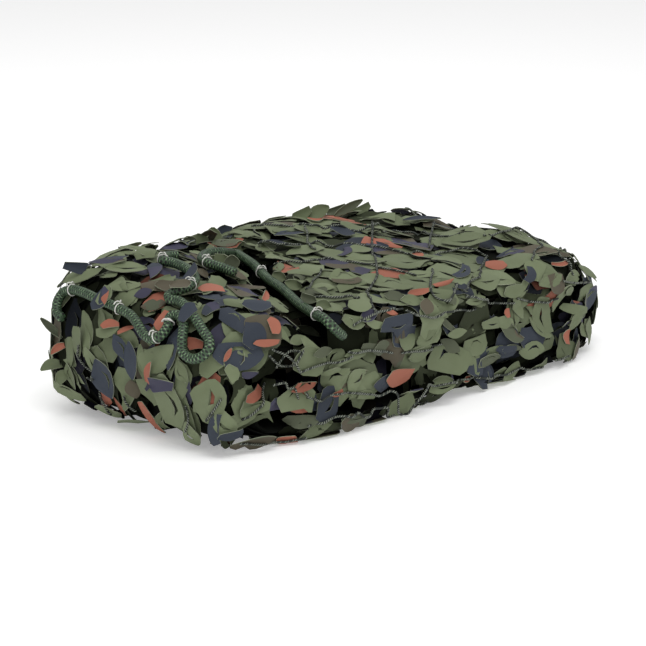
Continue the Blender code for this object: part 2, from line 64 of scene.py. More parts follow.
# %% Camera
VIEW_SIDE = 646
AZIMUTH, ELEVATION = -47.0, 14.9
LENS, SENSOR, DISTANCE = 150.5, 36.0, 2.835
AIM = Vector((0.0032, 0.0131, 0.0583))


def way_out(azimuth, elevation):
    """The direction from the bundle to a place at these angles, in degrees."""
    a, e = math.radians(azimuth), math.radians(elevation)
    return Vector((math.sin(a) * math.cos(e), -math.cos(a) * math.cos(e), math.sin(e)))


def link(name, data, *materials):
    """Makes an object of the data, finished in the materials."""
    piece = bpy.data.objects.new(name, data)
    for material in materials:
        data.materials.append(material)
    bpy.context.scene.collection.objects.link(piece)
    return piece


BACK = way_out(AZIMUTH, ELEVATION)
RIGHT = Vector((math.cos(math.radians(AZIMUTH)), math.sin(math.radians(AZIMUTH)), 0))
UP = BACK.cross(RIGHT)
EYE = AIM + BACK * DISTANCE

view = bpy.data.cameras.new("studio_camera")
view.lens, view.sensor_width = LENS, SENSOR
camera = link("studio_camera", view)
turned = Matrix((RIGHT, UP, BACK)).transposed().to_4x4()
camera.matrix_world = Matrix.Translation(EYE) @ turned
bpy.context.scene.camera = camera


def sight(px, py):
    """The direction in which a point of the view is seen."""
    step = SENSOR / LENS / VIEW_SIDE
    x, y = (px - VIEW_SIDE / 2) * step, (VIEW_SIDE / 2 - py) * step
    return (RIGHT * x + UP * y - BACK).normalized()


print("camera at", [round(c, 3) for c in EYE])

# %% [markdown]
# ## Floor and light
# A pale floor under an even pale sky, one large soft lamp from the front and above, and a
# weaker one on each far side.  A ring of many lamps or a painted sky would do as well,
# but soft light from a few keeps the olive cloth flat and matt, and lets the gaps between
# leaves go dark by themselves.

# %% Floor and light
FLOOR_SIZE = 8.0
PALE, WHITE = (0.9, 0.9, 0.9, 1), (1, 1, 1, 1)
FLOOR_ROUGH, FLOOR_GLOW, SKY_GLOW = 0.9, 0.28, 0.60
LAMPS = (
    # name, azimuth, elevation, distance, width, watts
    ("key", -46, 66, 2.4, 1.2, 21),
    ("fill", 30, 50, 2.6, 1.8, 6),
    ("rim", 140, 48, 2.4, 1.4, 6),
)


def to_mesh(bm, name):
    """Turns a bmesh into a mesh, and frees the bmesh."""
    mesh = bpy.data.meshes.new(name)
    bm.to_mesh(mesh)
    bm.free()
    return mesh


def set_inputs(node, **values):
    for key, value in values.items():
        node.inputs[key.replace("_", " ")].default_value = value


bm = bmesh.new()
bmesh.ops.create_grid(bm, x_segments=1, y_segments=1, size=FLOOR_SIZE / 2)
pale = bpy.data.materials.new("pale floor")
pale.use_nodes = True
set_inputs(pale.node_tree.nodes["Principled BSDF"], Base_Color=PALE, Roughness=FLOOR_ROUGH,
           Emission_Color=WHITE, Emission_Strength=FLOOR_GLOW)
floor = link("floor", to_mesh(bm, "floor"), pale)

for name, azimuth, elevation, distance, width, watts in LAMPS:
    light = bpy.data.lights.new(name, "AREA")
    light.size, light.energy = width, watts
    way = way_out(azimuth, elevation)
    turned = way.to_track_quat("Z", "Y").to_matrix().to_4x4()
    link(name, light).matrix_world = Matrix.Translation(way * distance) @ turned

sky = bpy.data.worlds.new("pale sky")
sky.use_nodes = True
set_inputs(sky.node_tree.nodes["Background"], Color=WHITE, Strength=SKY_GLOW)
bpy.context.scene.world = sky
bpy.context.scene.view_settings.view_transform = "Standard"
print("lamps:", len(LAMPS))

# %% [markdown]
# ## The fold
# The bundle is one strip of net, folded back and forth.  Its middle line, seen from the
# side, is a chain of straight layers and round turns; each station on it has a place, a
# normal and half the strip's thickness there.  It could be simulated, but a fold that is
# packed flat has a plain rule, and the rule keeps the cloth where the solid is.

# %% Sizes of the fold
HALF_LENGTH, HALF_WIDTH = 0.286, 0.155
PLY, TOP_PLY, PLY_GAP = 0.0290, 0.035, 0.0035          # how thick a layer is, and the air between
FREE_END_X, FREE_END_SLANT, SLANT_REACH = -0.098, 0.45, 0.24
PLAN_ROUNDING = 0.30                                   # how much narrower the ends are
FINE_STEP, COARSE_STEP = 0.022, 0.044                  # between stations that show, or don't
FACES_ACROSS, FACES_ROUND_SIDE = 15, 2
HANG_END_Z, HANG_SHARES = 0.012, (0, 0.5, 1)           # the left end hangs down to the floor
LUMP, SHELF_RISE, CROWN = 0.0040, 0.036, 0.006         # how far free faces swell
SHELF_START, SHELF_REACH, SHELF_BACK_REACH = 0.012, 0.055, 0.020
SHARP_SIDE, TOP_SHARP_SIDE = 0.30, 0.75                # thickness lost at a layer's sides
SIDE_POWER, FLOOR_SIDE_POWER = 5, 11                   # and how late it's lost
FACE_SHARE, INSIDE_SHARE, SIDE_WAVE = 0.965, 0.955, 0.025
FALL_ALONG, RISE_ACROSS = 0.14, 0.10                   # how the bundle leans as a whole
FOLD_MOVE = Vector((0.0098, 0.0041, 0))                # from the fold's origin to the bundle's

STACK_STEP = PLY + PLY_GAP
LAYER_1_Z = PLY / 2
LAYER_2_Z = LAYER_1_Z + STACK_STEP
LAYER_3_Z = LAYER_2_Z + STACK_STEP
LAYER_4_Z = LAYER_3_Z + PLY / 2 + PLY_GAP + TOP_PLY / 2
INNER_TURN = STACK_STEP / 2
OUTER_TURN_Z = (LAYER_4_Z - LAYER_1_Z) / 2
OUTER_TURN_X = 0.055
RIGHT_TURN_X = HALF_LENGTH - TOP_PLY / 2 - OUTER_TURN_X
INNER_RIGHT_X = HALF_LENGTH - TOP_PLY - PLY_GAP - PLY / 2 - INNER_TURN
OVERHANG = INNER_TURN + PLY / 2 + PLY_GAP + PLY / 2
LEFT_TURN_X = -HALF_LENGTH + PLY / 2 + OVERHANG
TOP_POINTS = FACES_ACROSS + 1
RING = 2 * (FACES_ACROSS + FACES_ROUND_SIDE)
LAYERS_Z = LAYER_1_Z, LAYER_2_Z, LAYER_3_Z, LAYER_4_Z
print("layers at", [round(z, 4) for z in LAYERS_Z], "points round the strip:", RING)


# %% [markdown]
# A station belongs to a straight layer or to a turn.  A turn may be squarer than a circle:
# its power says how much, as for a superellipse.

# %% Straight layers and turns
Station = namedtuple("Station", "x z nx nz half layer fine")


def ease(value):
    value = min(max(value, 0.0), 1.0)
    return value * value * (3 - 2 * value)


def straight(start_x, end_x, z, half, layer, step):
    count = max(1, round(abs(end_x - start_x) / step))
    side = 1 if end_x > start_x else -1
    places = (start_x + (end_x - start_x) * i / count for i in range(count))
    return [Station(x, z, 0, side, half, layer, step == FINE_STEP) for x in places]


def bent(centre, radii, start, end, halves, layer, count, power=2.0, fine=False):
    turn_side = 1 if end < start else -1
    rows = []
    for i in range(count):
        share = i / count
        angle = math.radians(start + (end - start) * share)
        c, s = math.cos(angle), math.sin(angle)
        x = math.copysign(abs(c) ** (2 / power), c) * radii[0]
        z = math.copysign(abs(s) ** (2 / power), s) * radii[1]
        nx = math.copysign(abs(c) ** (2 - 2 / power), c) / radii[0]
        nz = math.copysign(abs(s) ** (2 - 2 / power), s) / radii[1]
        size = math.hypot(nx, nz) * turn_side
        half = halves[0] + (halves[1] - halves[0]) * share
        rows.append(Station(centre[0] + x, centre[1] + z, nx / size, nz / size, half, layer, fine))
    return rows


print("a station has", Station._fields)


# %% Stations along the strip
END_SHARES = 0.0, 0.62, 0.88          # both ends of the strip thin out to nothing


def fold_stations():
    top, pressed = TOP_PLY / 2, PLY / 2
    rows = straight(FREE_END_X, RIGHT_TURN_X, LAYER_4_Z, top, 4, FINE_STEP)
    rows += bent((RIGHT_TURN_X, (LAYER_4_Z + LAYER_1_Z) / 2), (OUTER_TURN_X, OUTER_TURN_Z),
                 90, -90, (top, pressed), 5, 10, 2.5, True)
    rows += straight(RIGHT_TURN_X, LEFT_TURN_X, LAYER_1_Z, pressed, 1, COARSE_STEP)
    rows += bent((LEFT_TURN_X, (LAYER_1_Z + LAYER_2_Z) / 2), (INNER_TURN, INNER_TURN),
                 270, 90, (pressed, pressed), 6, 5)
    rows += straight(LEFT_TURN_X, INNER_RIGHT_X, LAYER_2_Z, pressed, 2, COARSE_STEP)
    rows += bent((INNER_RIGHT_X, (LAYER_2_Z + LAYER_3_Z) / 2), (INNER_TURN, INNER_TURN),
                 -90, 90, (pressed, pressed), 7, 5)
    rows += straight(INNER_RIGHT_X, 0.0, LAYER_3_Z, pressed, 3, COARSE_STEP)
    rows += straight(0.0, LEFT_TURN_X, LAYER_3_Z, pressed, 3, FINE_STEP)
    rows += bent((LEFT_TURN_X, INNER_TURN + PLY / 2), (OVERHANG, OVERHANG),
                 90, 180, (pressed, pressed), 8, 6, 2.6, True)
    hang_x, hang_z = LEFT_TURN_X - OVERHANG, INNER_TURN + PLY / 2
    for share in HANG_SHARES:
        rows.append(Station(hang_x, hang_z + (HANG_END_Z - hang_z) * share, 1, 0, pressed, 8, True))
    for i, share in enumerate(END_SHARES):
        rows[i] = rows[i]._replace(half=rows[i].half * share)
        rows[-1 - i] = rows[-1 - i]._replace(half=rows[-1 - i].half * share)
    return rows


STATIONS = fold_stations()


# %% [markdown]
# Across each station the strip has a ring of points: over its upper face, round one side,
# back over its lower face and round the other side.  Faces that nothing presses on swell
# a little, and the whole bundle falls away towards its rounded end.

# %% How the strip swells
FADE = 0.03              # over this height a swelling face rises from nothing


def free_end(y):
    """Where the flap ends at this depth."""
    return FREE_END_X + FREE_END_SLANT * y


def plan_half(x):
    """Half the bundle's depth, seen from above."""
    return HALF_WIDTH * (1 - PLAN_ROUNDING * min(abs(x) / HALF_LENGTH, 1.05) ** 4)


def relief(x, y, z):
    """The lumps of bunched net: slow waves that cross askew, from -1 to 1."""
    a = math.sin(33 * x + 18 * y + 1.3) * math.cos(30 * y - 14 * x + 28 * z)
    b = math.sin(46 * y + 15 * x + 2.1 + 35 * z)
    return 0.65 * a + 0.35 * b


def shows(station, outer, x, y):
    """How free a face is to swell: 0 where a layer or the floor presses on it."""
    if station.layer in (4, 5) and outer:
        return 1.0 if station.layer == 4 else ease((station.z - LAYER_1_Z) / FADE)
    if station.layer == 8 and not outer:
        return ease((station.z - HANG_END_Z) / FADE)
    if station.layer == 3 and not outer:
        share = ease((y / HALF_WIDTH + 1) / 2)
        reach = SHELF_REACH + (SHELF_BACK_REACH - SHELF_REACH) * share
        return ease((free_end(y) - SHELF_START - x) / reach)
    return 0.0


def ring_place(index):
    """Where a point of the ring lies: its share of the half width, and on which face."""
    if index < TOP_POINTS:
        return -1 + 2 * index / FACES_ACROSS, 1
    if index == TOP_POINTS:
        return 1.0, 0
    if index <= 2 * TOP_POINTS:
        return 1 - 2 * (index - TOP_POINTS - 1) / FACES_ACROSS, -1
    return -1.0, 0


def swell(station, across, x, y):
    """How far a free face stands out here."""
    size = LUMP * relief(x, y, station.z)
    if station.layer in (3, 8):
        size += SHELF_RISE * (1 - 0.35 * abs(across) ** 4) * abs(station.nz) ** 0.7
    if station.layer == 4:
        high = math.cos(2 * (x + 0.05) / HALF_LENGTH)
        size += CROWN * high * (0.75 + 0.45 * across) * (1 - abs(across) ** 6)
    return size


print("the flap ends at x", [round(free_end(y), 3) for y in (-HALF_WIDTH, HALF_WIDTH)])

# %% [markdown]
# The same rule gives the solid's own surface and a skin a little under it.  Where the net
# is fuller the skin is set in less, so that the leaves on it reach the solid's outside.

# %% The strip's surface
FULLER = (
    # from this x, over this reach, by these shares at the near and the far side
    (0.12, 0.12, 1.6, -1.0),
    (-0.10, -0.08, 0.0, 0.7),
    (-0.20, -0.06, 0.0, -0.8),
)
FULLER_MIDDLE = 0.06         # the near side's share turns into the far side's within this
SHELF_NEARER = 0.014         # how much further under the flap the skin of the shelf swells
MOST_INSET, SIDE_STAND = 0.7, 0.5


def cloth_point(i, j, inset=0.0):
    """A point of the strip's surface, or as far under it as the inset says."""
    station = STATIONS[i]
    across, face = ring_place(j % RING)
    width = plan_half(station.x) * (1 + SIDE_WAVE * math.sin(27 * station.x + 1.9 * station.layer))
    if station.layer in (2, 7) or (station.layer == 3 and not station.fine):
        width *= INSIDE_SHARE
    x = station.x
    if station.layer in (4, 5):
        x += FREE_END_SLANT * across * width * (1 - ease((x - FREE_END_X) / SLANT_REACH))
    y = across * width * (FACE_SHARE if face or not station.half else 1)
    for start, reach, near, far in FULLER:
        share = near + (far - near) * ease((y + FULLER_MIDDLE) / (2 * FULLER_MIDDLE))
        inset *= 1 - share * ease((x - start) / reach)
    if inset < 0:
        inset *= 1 - abs(station.nz)           # it never grows up or down past the solid
    out = face or (1 if station.layer in (4, 5) else -1)
    free = shows(station, out > 0, x - (SHELF_NEARER if inset else 0), y) if station.half else 0
    stand = free * swell(station, across, x, y)
    if face:
        lost = TOP_SHARP_SIDE if station.layer == 4 and face > 0 else SHARP_SIDE
        power = FLOOR_SIDE_POWER if station.layer == 1 and face > 0 else SIDE_POWER
        thick = station.half * (1 - lost * abs(across) ** power)
        stand += thick - min(inset, thick * MOST_INSET)
    else:
        stand *= SIDE_STAND
    y -= inset * across ** 9
    place = Vector((x + station.nx * out * stand, y, station.z + station.nz * out * stand))
    place.z *= 1 - FALL_ALONG * place.x / HALF_LENGTH + RISE_ACROSS * place.y / HALF_WIDTH
    return place + FOLD_MOVE


def cloth_surface(i, j):
    """The solid's surface between its points, and which way it faces there."""
    i = min(max(i, 0.0), len(STATIONS) - 1.001)
    i0, j0 = int(math.floor(i)), int(math.floor(j))
    u, v = i - i0, j - j0
    a, b = cloth_point(i0, j0), cloth_point(i0 + 1, j0)
    c, d = cloth_point(i0 + 1, j0 + 1), cloth_point(i0, j0 + 1)
    place = a * (1 - u) * (1 - v) + b * u * (1 - v) + c * u * v + d * (1 - u) * v
    along = (b - a) * (1 - v) + (c - d) * v
    across = (d - a) * (1 - u) + (c - b) * u
    return place, along.cross(across).normalized()


print("middle of the top:", [round(c, 3) for c in cloth_point(9, FACES_ACROSS // 2)])


# %% [markdown]
# ## The cloth
# The net's own cloth is a thin skin on that strip, set in a few millimetres to leave room
# for the leaves.  A grid, one row for each station, is wrapped round the strip; Subdivision
# rounds it and Solidify gives it the thickness of cloth.  It shows only between leaves, and
# there its near-black colour is painted shade.

# %% Wrap the cloth
CLOTH = 0.0012                         # how thick it is
MERGE = 0.00002
SKIN_INSET, SKIN_LOW = 0.0085, 0.004   # under the solid's surface, and over the floor
END_FROM, END_REACH = -0.23, 0.05      # from this x to the left the end's underside lifts
END_RISE, END_MIDDLE = 0.14, 0.03      # how steeply it lifts towards the back
FRONT_RISE, FRONT_X, FRONT_REACH, FRONT_Y = 0.010, -0.015, 0.07, 0.06    # the slack front


def off_floor(place):
    """How far the underside lifts, at the left end and in the middle of the front."""
    end = END_RISE * max(place.y + END_MIDDLE, 0) * ease((END_FROM - place.x) / END_REACH)
    hump = math.exp(-((place.x - FRONT_X) / FRONT_REACH) ** 2)
    return end + FRONT_RISE * hump * ease(-place.y / FRONT_Y)


def grid_places(bm, rows, cols):
    """Adds a grid, and gives the row and the column of each of its points."""
    grid = bmesh.ops.create_grid(bm, x_segments=rows, y_segments=cols, size=0.5)["verts"]
    return {vert: (round((vert.co.x + 0.5) * rows), round((vert.co.y + 0.5) * cols))
            for vert in grid}


def wrapped(inset=0.0, low=None):
    """A bmesh of the strip's surface, or of a skin under it that stays off the floor."""
    bm = bmesh.new()
    for vert, (i, j) in grid_places(bm, len(STATIONS) - 1, RING).items():
        vert.co = cloth_point(i, j, inset)
        if low is not None:
            vert.co.z = max(vert.co.z, low + off_floor(vert.co))
    bmesh.ops.remove_doubles(bm, verts=bm.verts, dist=MERGE)
    bmesh.ops.dissolve_degenerate(bm, edges=bm.edges, dist=MERGE)
    bmesh.ops.recalc_face_normals(bm, faces=bm.faces)
    return bm


def applied(piece):
    """The piece's mesh with its modifiers worked in."""
    bpy.context.view_layer.update()
    seen = piece.evaluated_get(bpy.context.evaluated_depsgraph_get())
    mesh = bpy.data.meshes.new_from_object(seen)
    piece.modifiers.clear()
    piece.data = mesh
    return mesh


cloth = link("folded_scrim", to_mesh(wrapped(SKIN_INSET, SKIN_LOW), "folded_scrim"))
rounding = cloth.modifiers.new("rounding", "SUBSURF")
rounding.levels = rounding.render_levels = 1
cloth_mesh = applied(cloth)
cloth_mesh.name = "folded_scrim"
print("cloth faces:", len(cloth_mesh.polygons))


# %% [markdown]
# ## Leaves
# A leaf is a snip of scrim a few centimetres long.  Its two sides are cut with one stroke
# each, so any stroke can meet any other: an arc, a straight cut, a cut with a nick in it.
# Each stroke is a rule that gives the half width for each row of a small grid.  Some leaves
# have a crescent slit as well: three faces of the grid are left out, and the points beside
# them part.

# %% Leaf outlines
ROWS = (0, 0.13, 0.29, 0.46, 0.63, 0.79, 0.91, 1.0)      # places along a leaf
COLS = (-1.0, -0.5, 0.0, 0.5, 1.0)                        # places across it
T, V = np.meshgrid(ROWS, COLS, indexing="ij")
SLIT_ROWS, SLIT_COLS = (2, 3, 4, 5), (2, 3)               # a slit runs between these
SLIT_INNER = np.array((-0.04, -0.34, -0.34, -0.04))       # its inner edge
SLIT_OPEN = np.array((0.0, 0.24, 0.24, 0.0))              # how far it gapes
SKEW = 0.22                                               # how far a skewed leaf leans over
NOTCH = (0, 0.13, 0.46, 0.63, 0.79, 1), (0.3, 0.9, 1.0, 0.45, 0.95, 0.55)
STROKES = {
    "arc": lambda t: np.sin(math.pi * (0.02 + 0.96 * t)) ** 0.80,
    "fan": lambda t: (0.30 + 0.70 * np.clip(t / 0.62, 0, 1)) * np.clip((1.12 - t) / 0.40, 0, 1),
    "straight": lambda t: np.clip((t + 0.02) / 0.16, 0, 1) * 0.86,
    "taper": lambda t: 1.0 - 0.96 * t ** 1.1,
    "corner": lambda t: np.interp(t, (0, 0.45, 0.79, 1), (0.15, 1.0, 0.85, 0.04)),
    "notch": lambda t: np.interp(t, *NOTCH),
    "nick": lambda t: STROKES["arc"](t) * (1 - 0.50 * np.exp(-((t - 0.60) / 0.10) ** 2)),
    "wave": lambda t: STROKES["arc"](t) * (0.72 + 0.30 * np.sin(2 * math.pi * t)),
    "hollow": lambda t: 0.28 + 0.50 * (2 * t - 1) ** 2,
}


def outline(shape, length, width, skew):
    """Places of a flat leaf's points: along it, and across it."""
    left, right, bend, slit = shape
    half = np.where(V < 0, STROKES[left](T), STROKES[right](T))
    share = V * half
    if slit:
        share[SLIT_ROWS, 2] = SLIT_INNER * slit
        share[SLIT_ROWS, 3] = share[SLIT_ROWS, 2] + SLIT_OPEN
    along = (T + skew * share * SKEW * T) * length
    across = share * width / 2 + bend * width * (4 * T * (1 - T) - 0.5)
    return along, across


print("strokes:", len(STROKES))

# %% [markdown]
# ## How a leaf comes to rest
# A cloth simulation of thousands of loose leaves would take an hour.  Each leaf is laid
# down by a rule instead: a ray from above each of its points finds how high the heap stands
# there, and the leaf takes the lowest stiff shape that clears those heights.  Its slope is
# limited, so that it stays nearly flat and bridges hollows, but what hangs over an edge
# sags, as coated cloth does.  Then it gets a little life of its own: a tip that curls,
# and one straight fold.  Last, no point of it may stand far off the net's cloth, because
# the bundle was pressed flat; so leaves fold round its edges and into its recesses.

# %% How stiff a leaf is
REACH = 0.045                         # how far over and under a leaf its support is looked for
MOST_TILT = 0.45                      # of a leaf against the bundle's own surface
LEAST_HELD = 6                        # with fewer points held, a leaf isn't tilted
DROOP = 0.9                           # slope of what nothing holds up
Leaf = namedtuple("Leaf", "place normal lean shape length width skew curl cup fold look slope")


def tilted(height, along, across):
    """The plane that lies best on the heights, as heights; it isn't steeper than MOST_TILT."""
    held = height > -REACH
    if held.sum() < LEAST_HELD:
        return np.zeros(height.shape)
    terms = np.stack([np.ones(held.sum()), along[held], across[held]], axis=1)
    level, *tilt = np.linalg.lstsq(terms, height[held], rcond=None)[0]
    tilt = np.clip(tilt, -MOST_TILT, MOST_TILT)
    return level + tilt[0] * along + tilt[1] * across


def stiffened(height, along, across, slope, free):
    """The lowest surface over the heights no steeper than the slope, or DROOP where free."""
    slopes = np.where(free, DROOP, slope)
    rise_t = np.abs(np.diff(along, axis=0)) * np.maximum(slopes[1:], slopes[:-1])
    rise_v = np.abs(np.diff(across, axis=1)) * np.maximum(slopes[:, 1:], slopes[:, :-1])
    for _ in range(2):
        for r in range(1, len(ROWS)):
            height[r] = np.maximum(height[r], height[r - 1] - rise_t[r - 1])
        for r in range(len(ROWS) - 2, -1, -1):
            height[r] = np.maximum(height[r], height[r + 1] - rise_t[r])
        for c in range(1, len(COLS)):
            height[:, c] = np.maximum(height[:, c], height[:, c - 1] - rise_v[:, c - 1])
        for c in range(len(COLS) - 2, -1, -1):
            height[:, c] = np.maximum(height[:, c], height[:, c + 1] - rise_v[:, c])
    soft = height.copy()
    soft[1:-1] = (height[:-2] + 2 * height[1:-1] + height[2:]) / 4
    return np.maximum(height, soft)


print("a leaf is told by its", ", ".join(Leaf._fields))

# %% [markdown]
# The heap is a BVH tree, Blender's quick way to shoot rays at many faces.  A ray goes down
# from above each point of the leaf, and one from above the middle of each of its faces, so
# that no sharp tip below comes through between the points.

# %% Rest a leaf on the heap
HUG, HUG_COURSE = 0.0042, 0.0015      # how far leaves may stand off, and more with each course
MOST_FOLDED = 0.016                   # a leaf that this would crumple is turned or trimmed
LEAF_THICK = 0.0006
LEAF_AIR, FLOOR_AIR = 0.0003, 0.0008
LAST_BY_CHANCE = 7                    # the courses before the listed ones


def hugged(point, most):
    """A point, brought in where it stands off the cloth more than this."""
    near, _, _, gap = skin.find_nearest(point)
    return point if gap <= most else near + (point - near) * (most / gap)


def height_of(heap, place, normal):
    """How high the heap stands over a place, or -REACH where there is none."""
    gap = heap.ray_cast(place + normal * REACH, -normal, 2 * REACH)[3]
    return -REACH if gap is None else REACH - gap


def rested(leaf, heap, floor_air, most):
    """A leaf at rest: its points and their places on it flat; and how far it was folded in."""
    along, across = outline(leaf.shape, leaf.length, leaf.width, leaf.skew)
    side = leaf.normal.cross(leaf.lean)
    height = np.full(along.shape, -REACH)
    flat = {(r, c): leaf.place + leaf.lean * along[r, c] + side * across[r, c]
            for r in range(len(ROWS)) for c in range(len(COLS))}
    for (r, c), spot in flat.items():
        height[r, c] = height_of(heap, spot, leaf.normal)
    for r in range(len(ROWS) - 1):
        for c in range(len(COLS) - 1):
            middle = (flat[r, c] + flat[r + 1, c] + flat[r, c + 1] + flat[r + 1, c + 1]) / 4
            cell = height[r:r + 2, c:c + 2]
            np.maximum(cell, height_of(heap, middle, leaf.normal), out=cell)
    plane = tilted(height, along, across)
    height = plane + stiffened(height - plane, along, across, leaf.slope, height == -REACH)
    turn, start, rise = leaf.fold
    past = along / leaf.length * math.cos(turn) + across / leaf.width * math.sin(turn) - start
    height += LEAF_THICK + LEAF_AIR + leaf.curl * T ** 2.2 + leaf.cup * V ** 2
    height += np.clip(past, 0, None) * leaf.length * rise
    points, folded = np.empty(along.shape + (3,)), 0
    for (r, c), spot in flat.items():
        stiff = spot + leaf.normal * height[r, c]
        points[r, c] = hugged(stiff, most)
        folded = max(folded, (Vector(points[r, c]) - stiff).length)
    points[..., 2] = np.maximum(points[..., 2], floor_air)
    return (points, along, across), folded


print("points of a leaf:", T.size)


# %% [markdown]
# The leaves of one course go into one mesh.  Each starts as a small grid whose points take
# their rested places.  Two things are written on it for the paint: a UV map in metres, so
# that the print keeps its real scale, and a colour that says which finish the leaf has; its
# alpha is how dark the leaf is painted, a random tone times its course's painted shade.

# %% Add a leaf to a mesh
LOOKS = {
    # printed side up, place in the ground colours, share of rust
    "olive": (0.0, 0.5, 0.0),
    "slate": (1.0, 0.05, 0.0),
    "purple": (1.0, 0.38, 0.0),
    "brown": (1.0, 0.64, 0.0),
    "dull": (1.0, 0.95, 0.0),
    "rust": (1.0, 0.30, 1.0),
    "mixed": (1.0, 0.28, 0.50),
    "print": (1.0, 0.55, 0.46),
}
ROLL = 6.0                                # metres of print that the leaves are cut from
TONE_SPREAD = 0.82, 1.06                  # one leaf's brightness against its course's


def in_slit(face, place):
    return all(place[vert][0] in SLIT_ROWS and place[vert][1] in SLIT_COLS for vert in face.verts)


def add_leaf(bm, leaf, rest, shade_and_tone, rng):
    """Adds a rested leaf to its course."""
    points, along, across = rest
    uv, look = bm.loops.layers.uv["print"], bm.verts.layers.float_color["look"]
    place = grid_places(bm, len(ROWS) - 1, len(COLS) - 1)
    cut = rng.uniform(0, ROLL), rng.uniform(0, ROLL)
    shade_and_tone *= rng.uniform(*TONE_SPREAD)
    for vert, spot in place.items():
        vert.co = points[spot]
        vert[look] = (*LOOKS[leaf.look], shade_and_tone)
    gap = []
    for face in {face for vert in place for face in vert.link_faces}:
        face.smooth = True
        for loop in face.loops:
            spot = place[loop.vert]
            loop[uv].uv = cut[0] + along[spot], cut[1] + across[spot]
        if leaf.shape[3] and in_slit(face, place):
            gap.append(face)
    bmesh.ops.delete(bm, geom=gap, context="FACES")
    kept = [vert for vert in place if vert.is_valid]
    for edge in {edge for vert in kept for edge in vert.link_edges}:
        edge.smooth = not edge.is_boundary         # the cut edge stays crisp
    bmesh.ops.remove_doubles(bm, verts=kept, dist=MERGE)


def leaf_mesh():
    """An empty bmesh that leaves can be added to."""
    bm = bmesh.new()
    bm.loops.layers.uv.new("print")
    bm.verts.layers.float_color.new("look")
    return bm


print("looks:", *LOOKS)

# %% [markdown]
# A leaf that doesn't come to rest where it should is turned and trimmed a little, as by
# the hand that ties it on, and left out if that doesn't help.  All leaves of a course are
# laid on the same heap, so it's built once for each course and not once for each leaf.

# %% Build a course of leaves
FITS = ((0, 1.0), (60, 0.8), (120, 0.6))  # turns and sizes that are tried in turn
PRESSED = 0.85, 1.25                      # how far off the cloth one leaf may stand
COURSE_AIR = 0.0005                       # an earlier course stays this much higher


def course(leaves, heap, rng, number, shade_and_tone, refuse):
    """A bmesh of the leaves that find a place, all laid on the same heap."""
    bm, laid = leaf_mesh(), 0
    floor_air = FLOOR_AIR + max(LAST_BY_CHANCE - number, 0) * COURSE_AIR
    most = HUG + HUG_COURSE * number
    for leaf in leaves:
        middle = leaf.place + leaf.lean * leaf.length / 2
        pressed = rng.uniform(*PRESSED)
        for turn, size in FITS:                # a leaf that doesn't fit is turned and trimmed
            lean = Matrix.Rotation(math.radians(turn), 3, leaf.normal) @ leaf.lean
            length, width = leaf.length * size, leaf.width * size
            trial = leaf._replace(place=middle - lean * length / 2, lean=lean,
                                  length=length, width=width)
            rest, folded = rested(trial, heap, floor_air, most * pressed)
            if folded < MOST_FOLDED and not refuse(trial, rest[0]):
                add_leaf(bm, trial, rest, shade_and_tone, rng)
                laid += 1
                break
    return bm, laid


print("a leaf is tried", len(FITS), "ways")

# %% [markdown]
# ## Where leaves may grow
# Only cloth that faces the open carries leaves that show.  On top and underneath these are
# the cloth's own faces; a short ray tells whether another layer covers one.  Round the
# sides the leaves bridge from layer to layer, so their places are found from outside: rays
# towards the bundle from a smooth ring around it.

# %% Open faces of the cloth
OPEN_REACH = 0.030                           # a face that another is this near to is covered
LIP, LIP_REACH = 0.026, 0.010                # the flap's free end, and the same reach there
LIP_UP = 0.8                                 # a face of the lip this level belongs to the top
FLAT_ENOUGH = 0.45                           # a face less level than this is left to the sides
RING_HALF, RING_POWER = (0.335, 0.215), 3.2  # the ring around the bundle
RING_LOW, RING_HIGH = 0.010, 0.150
RING_REACH = 0.12
SIDE_TILT, SIDE_MIDDLE = 0.9, 0.42           # side leaves lean up above this share of the height
RECESS_WIDE, RECESS_DEEP = 0.016, 0.007      # a hollow this wide and deep is a recess
END_FACES = -0.62                            # a side that faces this much to -X is the left end
OFF_CLOTH, PAST_FLAP = 0.002, 0.01
Spot = namedtuple("Spot", "place normal kind")

bm = bmesh.new()
bm.from_mesh(cloth_mesh)
bm.normal_update()
skin = BVHTree.FromBMesh(bm)
bm.free()


def flat_spots(mesh):
    """Open faces of the cloth, with their areas."""
    spots, areas = [], []
    for face in mesh.polygons:
        local = face.center - FOLD_MOVE
        lip = abs(local.x - free_end(local.y)) < LIP and local.z > LAYER_3_Z
        if abs(face.normal.z) < FLAT_ENOUGH and not lip:
            continue
        start = face.center + face.normal * OFF_CLOTH
        if skin.ray_cast(start, face.normal, LIP_REACH if lip else OPEN_REACH)[0] is not None:
            continue
        kind = "top" if face.normal.z > 0 else "under"
        past_flap = kind == "top" and local.x < free_end(local.y) - PAST_FLAP
        if lip and face.normal.z < LIP_UP or past_flap:
            kind = "shelf"
        spots.append(Spot(face.center.copy(), face.normal.copy(), kind))
        areas.append(face.area)
    return spots, areas


